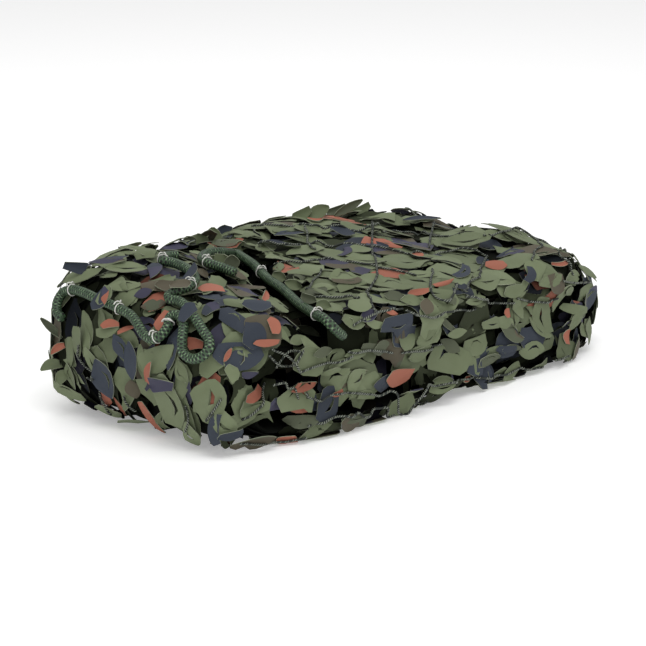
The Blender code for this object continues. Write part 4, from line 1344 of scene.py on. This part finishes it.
def leaf_of(row, heap, rng):
    """The leaf of one row of a table, or None where its line of sight misses."""
    px, py, turn, long, wide, strokes, look = row
    place = seen_place(px, py, heap)
    if place is None:
        print("misses the heap:", row)
        return None
    normal = (hull_normal(place) + BACK * FACING).normalized()
    turn = math.radians(turn)
    way = RIGHT * math.cos(turn) + UP * math.sin(turn)
    way -= BACK * way.dot(normal) / BACK.dot(normal)      # seen the same, but on the tilted leaf
    lean = way.normalized()
    side = normal.cross(lean)
    shares = [max(math.hypot(axis.dot(RIGHT), axis.dot(UP)), LEAST_SHARE)
              for axis in (lean, side)]
    length, width = long * PIXEL / shares[0], wide * PIXEL / shares[1]
    slit = (0, 1, -1)[(px + py) % 3] if long >= SLIT_FROM else 0
    shape = *strokes.split(), rng.uniform(*HAND_BENDS), slit
    fold = rng.uniform(0, 2 * math.pi), rng.uniform(*HAND_STARTS), rng.uniform(*HAND_RISES)
    return Leaf(place=place - lean * length / 2, normal=normal, lean=lean, shape=shape,
                length=length, width=width, skew=rng.uniform(*HAND_SKEWS),
                curl=rng.uniform(*HAND_CURLS), cup=rng.uniform(*HAND_CUPS),
                fold=fold, look=look, slope=HAND_SLOPE)


def laid_by_hand(name, rows, number, refuse=spoils_rope):
    """A course of listed leaves, on the heap so far."""
    leaves = [leaf for leaf in (leaf_of(row, heap, hand_rng) for row in rows) if leaf]
    return laid_course(name, leaves, heap, hand_rng, number, refuse=refuse)


hand_rng = random.Random(SEED + 4)
for number, rows in enumerate(ROUNDS, 1):
    piece = laid_by_hand(f"hand_laid_{number}", rows, LAST_BY_CHANCE + number)
    heap = add_to_heap(piece.data)
    leaf_pieces.append(piece)


# %% [markdown]
# At the left end, on the crown and in the notch behind the flap, leaves stick out.  Each is
# rooted where a line of sight finds the heap and points to where its tip shows.

# %% Leaves that stick out
STRAYS = (
    # foot, tip, width, left and right stroke, look
    (86, 270, 66, 263, 14, "taper straight", "slate"), (62, 338, 42, 319, 7, "arc arc", "dull"),
    (64, 343, 52, 354, 9, "arc taper", "rust"), (60, 361, 42, 370, 13, "arc taper", "olive"),
    (203, 250, 197, 234, 18, "arc straight", "olive"), (213, 249, 213, 229, 18, "arc arc", "olive"),
    (192, 248, 186, 237, 16, "arc corner", "dull"),
    (222, 240, 226, 225, 16, "straight arc", "slate"), (334, 216, 364, 199, 9, "arc arc", "dull"),
    (348, 217, 372, 205, 11, "arc straight", "olive"),
    (327, 214, 346, 203, 10, "arc taper", "dull"), (306, 218, 330, 206, 15, "arc arc", "olive"),
    (292, 219, 312, 210, 12, "arc straight", "olive"),
    (232, 253, 230, 242, 17, "arc straight", "dull"), (242, 252, 240, 241, 14, "arc arc", "olive"),
    (222, 254, 219, 244, 14, "straight arc", "olive"),
    (222, 268, 223, 255, 18, "arc straight", "olive"), (232, 270, 232, 256, 15, "arc arc", "dull"),
    (214, 266, 213, 256, 12, "arc arc", "olive"), (68, 371, 57, 381, 12, "arc straight", "olive"),
    (302, 288, 286, 282, 10, "arc arc", "olive"), (316, 301, 302, 297, 9, "straight arc", "dull"),
    (331, 307, 318, 303, 10, "arc straight", "olive"), (343, 314, 331, 319, 9, "arc arc", "olive"),
    (286, 280, 274, 273, 9, "arc straight", "olive"),
    (300, 326, 282, 314, 14, "arc straight", "brown"), (320, 337, 297, 328, 12, "arc wave", "dull"),
    (353, 320, 342, 325, 10, "arc arc", "olive"),
)
STRAY_CURL, STRAY_CUP = 0.003, 0.0015


def stray(row, heap):
    """A free leaf, and where its points stand."""
    px, py, tip_x, tip_y, wide, strokes, look = row
    way = (RIGHT * (tip_x - px) - UP * (tip_y - py)) * PIXEL
    leaf = Leaf(place=seen_place(px, py, heap), normal=BACK, lean=way.normalized(),
                shape=(*strokes.split(), 0, 0), length=way.length, width=wide * PIXEL,
                skew=0, curl=STRAY_CURL, cup=STRAY_CUP, fold=None, look=look, slope=0)
    along, across = outline(leaf.shape, leaf.length, leaf.width, leaf.skew)
    side = leaf.normal.cross(leaf.lean)
    lift = leaf.curl * T ** 2 + leaf.cup * V ** 2
    points = (np.array(leaf.place) + along[..., None] * leaf.lean + across[..., None] * side
              + lift[..., None] * leaf.normal)
    return leaf, (points, along, across)


bm = leaf_mesh()
for row in STRAYS:
    add_leaf(bm, *stray(row, heap), 1.0, hand_rng)
leaf_pieces.append(link("stray_leaves", to_mesh(bm, "stray_leaves")))
print("strays:", len(STRAYS))

# %% [markdown]
# ## Net cords
# The net's own cords show where the leaves leave them bare.  They are the lines of a
# square mesh that lies askew on the folds, and each line is set down on the leaves.  A
# texture of cords would be cheaper, but they stand clear of the leaves and throw shadows.
# The cords that the camera sees are given by points of the view; the rest follow the
# folds.

# %% Net cords
CORD, CORD_RING, CORD_SIDES = 0.0026, 0.0011, 7
CORD_SLOPE, CORD_LIFT = 0.55, 0.0019
CORD_BEAD, CORD_RISE = 0.0026, 0.16
CORD_HUG = HUG + HUG_COURSE * (LAST_BY_CHANCE + len(ROUNDS)) + CORD / 2
# Points of the view: across, down, across, down...
CORD_LINES = (
    (216, 233, 252, 229, 299, 225, 340, 227, 372, 230),
    (261, 247, 290, 246, 322, 246, 372, 247, 416, 253, 452, 253, 487, 257),
    (274, 266, 300, 264, 319, 263, 360, 265, 390, 271, 416, 277), (315, 299, 337, 299, 359, 298),
    (304, 235, 309, 246, 315, 256), (322, 270, 315, 280, 306, 290),
    (372, 223, 372, 246, 376, 262, 377, 276, 367, 296, 374, 313), (433, 226, 430, 240, 428, 254),
    (479, 226, 483, 237, 494, 244, 512, 244, 531, 245, 531, 261),
    (487, 257, 480, 269, 470, 281, 462, 292), (432, 270, 431, 289, 440, 301, 450, 297, 456, 284),
    (464, 297, 486, 300, 510, 304), (562, 281, 576, 283, 590, 282),
    (264, 382, 278, 378, 291, 377, 308, 381, 324, 387, 345, 392),
    (264, 382, 262, 392, 262, 404, 252, 412, 241, 419),
    (306, 425, 335, 416, 365, 406, 391, 398, 416, 391, 446, 384),
    (446, 384, 480, 377, 515, 369, 541, 363), (549, 359, 552, 351, 562, 353),
    (80, 345, 86, 362, 95, 380), (125, 395, 138, 409, 150, 425), (271, 349, 284, 356, 299, 372),
    (275, 368, 286, 352, 300, 352), (268, 355, 280, 366, 296, 362, 303, 350),
    (299, 372, 320, 364, 338, 362, 352, 355), (345, 352, 372, 350, 392, 353),
    (352, 325, 366, 318, 384, 312, 402, 309), (400, 311, 430, 318, 446, 312, 470, 308),
    (186, 405, 190, 420, 186, 432), (400, 353, 424, 350, 441, 344),
    (345, 392, 372, 394, 398, 388, 420, 391), (516, 298, 536, 302, 556, 298),
    (556, 250, 566, 262, 572, 276), (405, 214, 432, 222, 462, 224),
    (372, 230, 398, 232, 433, 237, 460, 234), (206, 421, 214, 410, 222, 398),
    (90, 376, 102, 396, 118, 407), (240, 443, 262, 444, 285, 441, 306, 436),
)


def beads(far, angle):
    """The twist of a cord, as ridges."""
    return CORD_RISE * (math.cos(2 * math.pi * far / CORD_BEAD + angle) - 0.5)


def on_heap(places, heap, slope, lift):
    """Sets a line of places and normals down on the heap, no steeper than the slope."""
    heights = [height_of(heap, place, normal) for place, normal in places]
    for order in (range(1, len(places)), range(len(places) - 2, -1, -1)):
        back = -order.step
        for k in order:
            step = (places[k][0] - places[k + back][0]).length
            heights[k] = max(heights[k], heights[k + back] - slope * step)
    line = [hugged(place + normal * (height + lift), CORD_HUG)
            for (place, normal), height in zip(places, heights)]
    for point in line:
        point.z = max(point.z, CORD)
    return line


print("cords given by the view:", len(CORD_LINES))


# %% [markdown]
# Counted in stations and in points round the strip, the net's lines are straight and run
# both ways askew.  Each sways a little, as the net isn't pulled tight.

# %% Lines of the net
CELL_FACES, CORDS_FROM, CORDS_TO = 4, 5.0, 22.6
CORDS_MIDDLE = (16.5, 6.5)
CORDS_EACH_WAY = 8               # on each side of the middle one
NET_STEP = 0.15
SWAY, SWAY_TURN = 0.30, 1.1
NET_LOW, NET_HIGH = 0.6, FACES_ACROSS - 0.3
FRONT = 0.12                     # a face that looks more than this to the viewer is left out
ROPE_SPARED = 0.022              # these lines stay this far from the rope


def net_lines(rng):
    """The net's lines where the camera doesn't see them, each as places and normals."""
    lines = []
    for side in (1, -1):
        for k in range(-CORDS_EACH_WAY, CORDS_EACH_WAY + 1):
            middle = CORDS_MIDDLE[1] - side * CORDS_MIDDLE[0] + CELL_FACES * k
            line, phase = [], rng.uniform(0, 6)
            for n in range(round((CORDS_TO - CORDS_FROM) / NET_STEP)):
                i = CORDS_FROM + NET_STEP * n
                j = side * i + middle + SWAY * math.sin(SWAY_TURN * i + phase)
                if not NET_LOW < j < NET_HIGH:
                    continue
                place, normal = cloth_surface(i, j)
                if normal.dot(BACK) < FRONT and rope_tree.find(place)[2] > ROPE_SPARED:
                    line.append((place, normal))
                elif line:
                    lines.append(line)
                    line = []
            lines.append(line)
    return lines


LEAST_POINTS, KNOT_STEP = 12, 0.003
cord_rng = random.Random(SEED + 1)
bm = strands()
for places in net_lines(cord_rng):
    line = on_heap(places, heap, CORD_SLOPE, CORD_LIFT)
    if len(line) > LEAST_POINTS:
        tube(bm, through(line[::2], CORD_RING), CORD / 2, CORD_SIDES, beads)
for row in CORD_LINES:
    knots = [heap.ray_cast(EYE, sight(px, py))[0] for px, py in zip(row[::2], row[1::2])]
    knots = [knot for knot in knots if knot]
    if len(knots) < 2:
        print("misses the heap:", row)
        continue
    places = [(point, hull_normal(point)) for point in through(knots, KNOT_STEP)]
    line = on_heap(places, heap, CORD_SLOPE, CORD_LIFT)
    tube(bm, through(line[:-1:3] + line[-1:], CORD_RING), CORD / 2, CORD_SIDES, beads)
cords = finished(bm, "net_cords")
print("net cords, faces:", len(cords.data.polygons))

# %% [markdown]
# ## Build the rope
# A braided cover is strands that wind both ways and cross over and under.  Modelled one by
# one they would take a hundred thousand faces.  Here the cover is one wrapped grid, and
# its ridges are the higher of two waves that wind opposite ways, four strands each.

# %% Braided rope
ROPE_RING, ROPE_SIDES = 0.0009, 24
PLAITS, PLAIT_PITCH, PLAIT_RISE = 4, 0.0036, 0.07


def braid(far, angle):
    """The ridges of the braid."""
    turn = 2 * math.pi * far / PLAIT_PITCH
    ridge = max(math.cos(PLAITS * angle - turn), math.cos(PLAITS * angle + turn))
    return PLAIT_RISE * (ridge - 1)


rope_pieces = []
for name, line in ROPE_LINES.items():
    bm = strands()
    tube(bm, through(line, ROPE_RING), ROPE / 2, ROPE_SIDES, braid)
    rope_pieces.append(finished(bm, name.replace("edge_rope", "braided_rope")))
    print(rope_pieces[-1].name, "faces:", len(rope_pieces[-1].data.polygons))

# %% [markdown]
# ## Leaves over the rope
# The rope dips under the leaves here and there.  These leaves are laid last, on a heap that
# has the rope on it, so each one bridges the rope and comes down beside it.

# %% Leaves over the rope
OVER_ROPE = (
    (101, 300, 60, 22, 16, "arc straight", "mixed"),
    (112, 299, 75, 20, 13, "arc straight", "olive"),
    (188, 312, 50, 20, 14, "straight arc", "slate"), (190, 276, 70, 20, 13, "arc taper", "slate"),
    (181, 285, 0, 20, 12, "straight arc", "brown"), (170, 287, 5, 24, 12, "arc straight", "brown"),
    (207, 247, 5, 28, 13, "arc straight", "olive"), (224, 246, 0, 26, 12, "arc arc", "dull"),
    (196, 254, -60, 16, 12, "arc arc", "olive"), (237, 250, -20, 20, 11, "arc straight", "olive"),
)
OVER_NUMBER = 24         # so many courses up that the rope under them is no bar


def spoils_nothing(leaf, points):
    return False


for piece in rope_pieces:
    heap = add_to_heap(piece.data)
leaf_pieces.append(laid_by_hand("leaves_over_rope", OVER_ROPE, OVER_NUMBER, spoils_nothing))
print("pieces with leaves:", len(leaf_pieces))

# %% [markdown]
# ## Lashings
# White twine ties the border rope to the net.  Each lashing is a turn of twine round the
# rope, with two free ends on top.  A knot would need a dozen more bends, and at this size
# nobody would see them.

# %% Lashings
TIES = {
    "edge_rope_upper": (0.08, 0.547, 0.902),
    "edge_rope_lower": (0.06, 0.226, 0.615, 0.66, 0.775, 0.913),
}
TWINE, TWINE_TURNS, TWINE_STEP = 0.0012, 1.1, 0.0007
TWINE_SIDES, TWINE_END, TURN_PARTS = 8, 0.006, 12
TWIST_RISE, TWIST_PITCH = 0.12, 0.004
TWINE_SINK, TWINE_PITCH, TWINE_OVER = 0.45, 1.1, 0.7   # all in thicknesses of the twine
END_BENDS = (0, 0), (0.3, 0.0015), (0.7, 0.0008), (1, -0.002)    # shares of an end, and rises
END_TURNS = 0.2, 1.3


def twist(far, angle):
    """The two strands of the twine, as ridges."""
    return TWIST_RISE * math.cos(2 * angle - 2 * math.pi * far / TWIST_PITCH)


def lashing(name, place, along, rng):
    """Twine round a rope that passes the place in that direction."""
    side = along.cross(Vector((0, 0, 1))).normalized()
    over = side.cross(along).normalized()
    reach = ROPE / 2 + TWINE * TWINE_SINK
    turns = []
    for k in range(round(TWINE_TURNS * TURN_PARTS) + 1):
        turn = 2 * math.pi * k / TURN_PARTS
        far = along * TWINE * TWINE_PITCH * (k / TURN_PARTS - TWINE_TURNS / 2)
        turns.append(place + far + (side * math.sin(turn) + over * math.cos(turn)) * reach)
    bm = strands()
    tube(bm, through(turns, TWINE_STEP), TWINE / 2, TWINE_SIDES, twist)
    start = place + over * (reach + TWINE * TWINE_OVER)
    for sign in (-1, 1):
        turn = rng.uniform(*END_TURNS) * sign
        way = (side * math.cos(turn) + along * math.sin(turn)) * sign
        end = [start + way * TWINE_END * share + over * rise for share, rise in END_BENDS]
        tube(bm, through(end, TWINE_STEP), TWINE / 2, TWINE_SIDES, twist)
    return finished(bm, name)


tie_pieces = []
for rope, shares in TIES.items():
    line = ROPE_LINES[rope]
    for share in shares:
        k = round(share * (len(line) - 2))
        place, along = (line[k] + line[k + 1]) / 2, (line[k + 1] - line[k]).normalized()
        name = f"lashing_{len(tie_pieces) + 1:02d}"
        tie_pieces.append(lashing(name, place, along, cord_rng))
print("lashings:", len(tie_pieces))

# %% [markdown]
# ## Finishes
# The scrim is coated cloth.  One side has a generic camouflage print of slate, purple grey,
# brown and dull green, with patches of rust; the other is plain olive, and it's up on most
# leaves.  An image of a print would be quick to use, but a noise that is cut into steps
# gives such blots at any size, and each leaf is cut from its own place on the roll.

# %% Colours
def tint(red, green, blue):
    """A display colour, 0 to 255, as the linear one that shaders use."""
    def linear(c):
        c /= 255
        return c / 12.92 if c <= 0.04045 else ((c + 0.055) / 1.055) ** 2.4
    return linear(red), linear(green), linear(blue), 1.0


def darker(colour, share):
    return tuple(c * share for c in colour[:3]) + (1.0,)


OLIVE, OLIVE_DEEP, RUST = tint(116, 126, 96), tint(103, 113, 82), tint(158, 96, 76)
SLATE, PURPLE, BROWN, DULL = (
    tint(49, 56, 67), tint(62, 61, 80), tint(86, 80, 64), tint(82, 88, 68))
# The second of these colours, nearly black, is painted shade for the cloth deep in the folds.
CUT, FOLD_SHADE, WHITE_TWINE = tint(146, 152, 130), tint(15, 17, 13), tint(225, 225, 218)
CORD_DARK, CORD_FLECK = tint(42, 48, 42), tint(158, 164, 148)
# The second of these, nearly black, is painted shade in the pits of the braid.
STRAND, PIT_SHADE, STRAND_FLECK = tint(58, 82, 56), tint(5, 9, 6), tint(112, 138, 102)
print("olive, linear:", [round(c, 3) for c in OLIVE])


# %% Short ways to nodes
class Paint:
    """A material and short ways to add nodes to it."""

    def __init__(self, name, roughness):
        self.material = bpy.data.materials.new(name)
        self.material.use_nodes = True
        self.tree = self.material.node_tree
        self.shader = self.tree.nodes["Principled BSDF"]
        set_inputs(self.shader, Roughness=roughness)

    def node(self, kind, settings=None, **inputs):
        """Adds a node.  An input goes by its name, or by i and its number."""
        node = self.tree.nodes.new(kind)
        for key, value in (settings or {}).items():
            setattr(node, key, value)
        for key, value in inputs.items():
            numbered = key[0] == "i" and key[1:].isdigit()
            socket = node.inputs[int(key[1:]) if numbered else key.replace("_", " ")]
            if isinstance(value, bpy.types.NodeSocket):
                self.tree.links.new(value, socket)
            else:
                socket.default_value = value
        return node

    def math(self, operation, *values):
        inputs = {f"i{k}": value for k, value in enumerate(values)}
        return self.node("ShaderNodeMath", dict(operation=operation), **inputs).outputs[0]

    def mix(self, share, first, second, blend="MIX"):
        settings = dict(data_type="RGBA", blend_type=blend)
        return self.node("ShaderNodeMix", settings, i0=share, i6=first, i7=second).outputs[2]

    def noise(self, where, scale, detail=2.0):
        inputs = dict(Vector=where, Scale=scale, Detail=detail)
        return self.node("ShaderNodeTexNoise", **inputs).outputs["Fac"]

    def chance(self, dimensions, **inputs):
        """A number from 0 to 1 that is the same all over a cell."""
        settings = dict(noise_dimensions=dimensions)
        return self.node("ShaderNodeTexWhiteNoise", settings, **inputs).outputs["Value"]

    def grey(self, value):
        return self.node("ShaderNodeCombineColor", i0=value, i1=value, i2=value).outputs[0]

    def map(self, name):
        return self.node("ShaderNodeUVMap", dict(uv_map=name)).outputs[0]

    def look(self):
        return self.node("ShaderNodeAttribute", dict(attribute_name="look")).outputs

    def parted(self, vector):
        return self.node("ShaderNodeSeparateXYZ", Vector=vector).outputs

    def colour(self, value):
        self.tree.links.new(value, self.shader.inputs["Base Color"])

    def bump(self, height, distance, strength=1.0):
        node = self.node("ShaderNodeBump", Height=height, Distance=distance, Strength=strength)
        self.tree.links.new(node.outputs[0], self.shader.inputs["Normal"])


print("a finish has", [name for name in vars(Paint) if not name.startswith("_")])


# %% Scrim
SCRIM_ROUGH, SCRIM_SHINE = 0.72, 0.4
BLOT_SCALE, BLOT_DETAIL, BLOT_SPREAD = 16.0, 1.5, 0.9      # per metre of the roll
PATCH_SCALE, PATCH_FROM, PATCH_MOVE = 19.0, 0.62, (3.7, 9.1, 0)
OLIVE_SCALE = 60.0
WEAVE_SCALE, WEAVE_DEEP, WEAVE_STRENGTH = 320.0, 0.00012, 0.5
GROUNDS = (0.0, SLATE), (0.30, PURPLE), (0.50, BROWN), (0.75, DULL)


def scrim_paint(name, other_side):
    """One side of the leaves; the other side shows print where this one is plain."""
    paint = Paint(name, SCRIM_ROUGH)
    cut, look = paint.map("print"), paint.look()
    parts = paint.node("ShaderNodeSeparateColor", Color=look["Color"]).outputs
    blot = paint.math("SUBTRACT", paint.noise(cut, BLOT_SCALE, BLOT_DETAIL), 0.5)
    ground = paint.math("ADD", parts[1], paint.math("MULTIPLY", blot, BLOT_SPREAD))
    ramp = paint.node("ShaderNodeValToRGB", Fac=ground)
    ramp.color_ramp.interpolation = "CONSTANT"
    while len(ramp.color_ramp.elements) < len(GROUNDS):
        ramp.color_ramp.elements.new(1.0)
    for element, (place, colour) in zip(ramp.color_ramp.elements, GROUNDS):
        element.position, element.color = place, colour
    far = paint.node("ShaderNodeMapping", Vector=cut, Location=PATCH_MOVE).outputs[0]
    patch = paint.math("ADD", paint.noise(far, PATCH_SCALE, BLOT_DETAIL),
                       paint.math("SUBTRACT", parts[2], 0.5))
    printed = paint.mix(paint.math("GREATER_THAN", patch, PATCH_FROM), ramp.outputs[0], RUST)
    plain = paint.mix(paint.noise(cut, OLIVE_SCALE), OLIVE_DEEP, OLIVE)
    share = paint.math("SUBTRACT", 1.0, parts[0]) if other_side else parts[0]
    # The look's alpha darkens the colour: a random tone, times the painted shade of the leaf's
    # course.
    paint.colour(paint.mix(1.0, paint.mix(share, plain, printed), paint.grey(look["Alpha"]),
                           "MULTIPLY"))
    weave = [paint.node("ShaderNodeTexWave", dict(bands_direction=way), Vector=cut,
                        Scale=WEAVE_SCALE).outputs["Fac"] for way in ("X", "Y")]
    paint.bump(paint.math("MULTIPLY", *weave), WEAVE_DEEP, WEAVE_STRENGTH)
    # The specular level follows the same alpha, so leaves painted dark as shade also lose their
    # sheen.
    shine = paint.math("MULTIPLY", look["Alpha"], SCRIM_SHINE)
    paint.tree.links.new(shine, paint.shader.inputs["Specular IOR Level"])
    return paint.material


scrim_face = scrim_paint("scrim, face", False)
scrim_back = scrim_paint("scrim, back", True)
print("scrim nodes:", len(scrim_face.node_tree.nodes))

# %% [markdown]
# Where a leaf is cut, the cloth's pale threads show as a thin light line.  The cloth in the
# folds is the same scrim, painted nearly black as the shade it lies in, and twine is white
# cotton.  Plain colours with a fine noise are enough for both.

# %% Cut edges, cloth in the folds, twine
CUT_ROUGH, CUT_SHINE = 0.8, 0.1
SPOT_DARK, SPOT_DEEP, SPOT_STRENGTH = 0.75, 0.0002, 0.4


def edge_paint(name, colour):
    """A leaf's cut edge, darkened like its leaf by its tone and painted shade."""
    paint = Paint(name, CUT_ROUGH)
    paint.colour(paint.mix(1.0, colour, paint.grey(paint.look()["Alpha"]), "MULTIPLY"))
    set_inputs(paint.shader, Specular_IOR_Level=CUT_SHINE)
    return paint.material


def plain_paint(name, colour, roughness, scale, shine=0.5):
    paint = Paint(name, roughness)
    spots = paint.noise(paint.node("ShaderNodeTexCoord").outputs["Object"], scale)
    paint.colour(paint.mix(spots, darker(colour, SPOT_DARK), colour))
    paint.bump(spots, SPOT_DEEP, SPOT_STRENGTH)
    set_inputs(paint.shader, Specular_IOR_Level=shine)
    return paint.material


cut_edge = edge_paint("scrim, cut edge", CUT)
shaded_cloth = plain_paint("scrim in the folds", FOLD_SHADE, roughness=0.9, scale=300.0, shine=0.1)
twine_paint = plain_paint("white twine", WHITE_TWINE, roughness=0.7, scale=1200.0)
print("plain finishes:", cut_edge.name, "/", shaded_cloth.name, "/", twine_paint.name)

# %% [markdown]
# The net's cord is twisted from dark yarns and one pale one, which shows as a fleck at each
# turn.  The border rope is braided: the pits between its strands are painted nearly black,
# as shade, and some strands are pale.  Both patterns are sums on the wrap map, whose first
# number is the way along the cord in metres and whose second is the share of a turn round it.

# %% Net cord
FLECK_WIDE, FLECK_SHARE, YARN_SCALE, YARN_DARK = 0.22, 0.70, 900.0, 0.5
FLECKS_ROUND = 2.0                # so steeply the flecks wind round the cord
CORD_ROUGH, CORD_DEEP, CORD_RELIEF = 0.7, 0.0002, 0.4


def cord_finish():
    paint = Paint("net cord", CORD_ROUGH)
    wrap = paint.map("wrap")
    far, turn, _ = paint.parted(wrap)
    beads_far = paint.math("DIVIDE", far, CORD_BEAD)
    winding = paint.math("MULTIPLY", turn, FLECKS_ROUND)
    step = paint.math("FRACT", paint.math("ADD", beads_far, winding))
    stitch = paint.math("LESS_THAN", step, FLECK_WIDE)
    chance = paint.chance("1D", W=paint.math("FLOOR", beads_far))
    lone = paint.math("GREATER_THAN", chance, 1 - FLECK_SHARE)
    ground = paint.mix(paint.noise(wrap, YARN_SCALE), darker(CORD_DARK, YARN_DARK), CORD_DARK)
    paint.colour(paint.mix(paint.math("MULTIPLY", stitch, lone), ground, CORD_FLECK))
    paint.bump(step, CORD_DEEP, CORD_RELIEF)
    return paint.material


cord_paint = cord_finish()
print("cord nodes:", len(cord_paint.node_tree.nodes))

# %% Rope cover
CROSSING, PIT_FROM, PALE_SHARE = 0.30, 0.20, 0.55
ROPE_ROUGH, ROPE_DEEP, ROPE_RELIEF = 0.55, 0.0004, 0.6


def braid_finish():
    paint = Paint("braided rope", ROPE_ROUGH)
    far, turn, _ = paint.parted(paint.map("wrap"))
    steps = paint.math("DIVIDE", far, PLAIT_PITCH)
    turns = paint.math("MULTIPLY", turn, float(PLAITS))
    ways = [paint.math(sign, turns, steps) for sign in ("ADD", "SUBTRACT")]
    near = [paint.math("ABSOLUTE", paint.math("SUBTRACT", paint.math("FRACT", way), 0.5))
            for way in ways]
    crossing = paint.math("LESS_THAN", paint.math("ADD", *near), CROSSING)
    cells = [paint.math("FLOOR", way) for way in ways]
    place = paint.node("ShaderNodeCombineXYZ", X=cells[0], Y=cells[1]).outputs[0]
    some = paint.math("GREATER_THAN", paint.chance("2D", Vector=place), 1 - PALE_SHARE)
    # The pits between the strands are painted nearly black as shade.
    pit_shade = paint.math("GREATER_THAN", paint.math("MINIMUM", *near), PIT_FROM)
    ground = paint.mix(pit_shade, STRAND, PIT_SHADE)
    paint.colour(paint.mix(paint.math("MULTIPLY", crossing, some), ground, STRAND_FLECK))
    paint.bump(paint.math("MAXIMUM", *near), ROPE_DEEP, ROPE_RELIEF)
    return paint.material


rope_paint = braid_finish()
print("rope nodes:", len(rope_paint.node_tree.nodes))

# %% [markdown]
# Every leaf gets three finishes: one for each side, and one for the rim that Solidify makes
# as it gives the leaf the thickness of cloth.

# %% Hand out the finishes
def thicken(piece, thickness, *materials):
    """Gives a sheet its thickness; with three finishes the back and the rim get their own."""
    for material in materials:
        piece.data.materials.append(material)
    wall = piece.modifiers.new("thickness", "SOLIDIFY")
    wall.thickness, wall.offset = thickness, -1
    if len(materials) > 1:
        wall.material_offset, wall.material_offset_rim = 1, 2


for piece in leaf_pieces:
    thicken(piece, LEAF_THICK, scrim_face, scrim_back, cut_edge)
thicken(cloth, CLOTH, shaded_cloth)
for pieces, material in (([cords], cord_paint), (rope_pieces, rope_paint),
                         (tie_pieces, twine_paint)):
    for piece in pieces:
        piece.data.materials.append(material)
print("pieces:", len(leaf_pieces) + len(rope_pieces) + len(tie_pieces) + 2)

# %% [markdown]
# ## Tell the frame what each piece is
# Nothing on the bundle moves by itself, so every piece rides on the root.  The cloth stands
# for the net's solid, and the leaves belong to it; cords, ropes and lashings each take the
# place of their own solid.  The cloth is a flattened ring, as wide as twice the bundle's
# depth, and as long as its way through the folds.

# %% Declarations
for piece in [cloth, cords, *leaf_pieces, *rope_pieces, *tie_pieces]:
    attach(piece, "root")
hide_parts("net_body")
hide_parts("net_mesh")
for piece, node in zip(rope_pieces, ROPE_LINES):
    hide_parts(node)
for k, piece in enumerate(tie_pieces):
    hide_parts(f"tie_{k + 1:02d}")
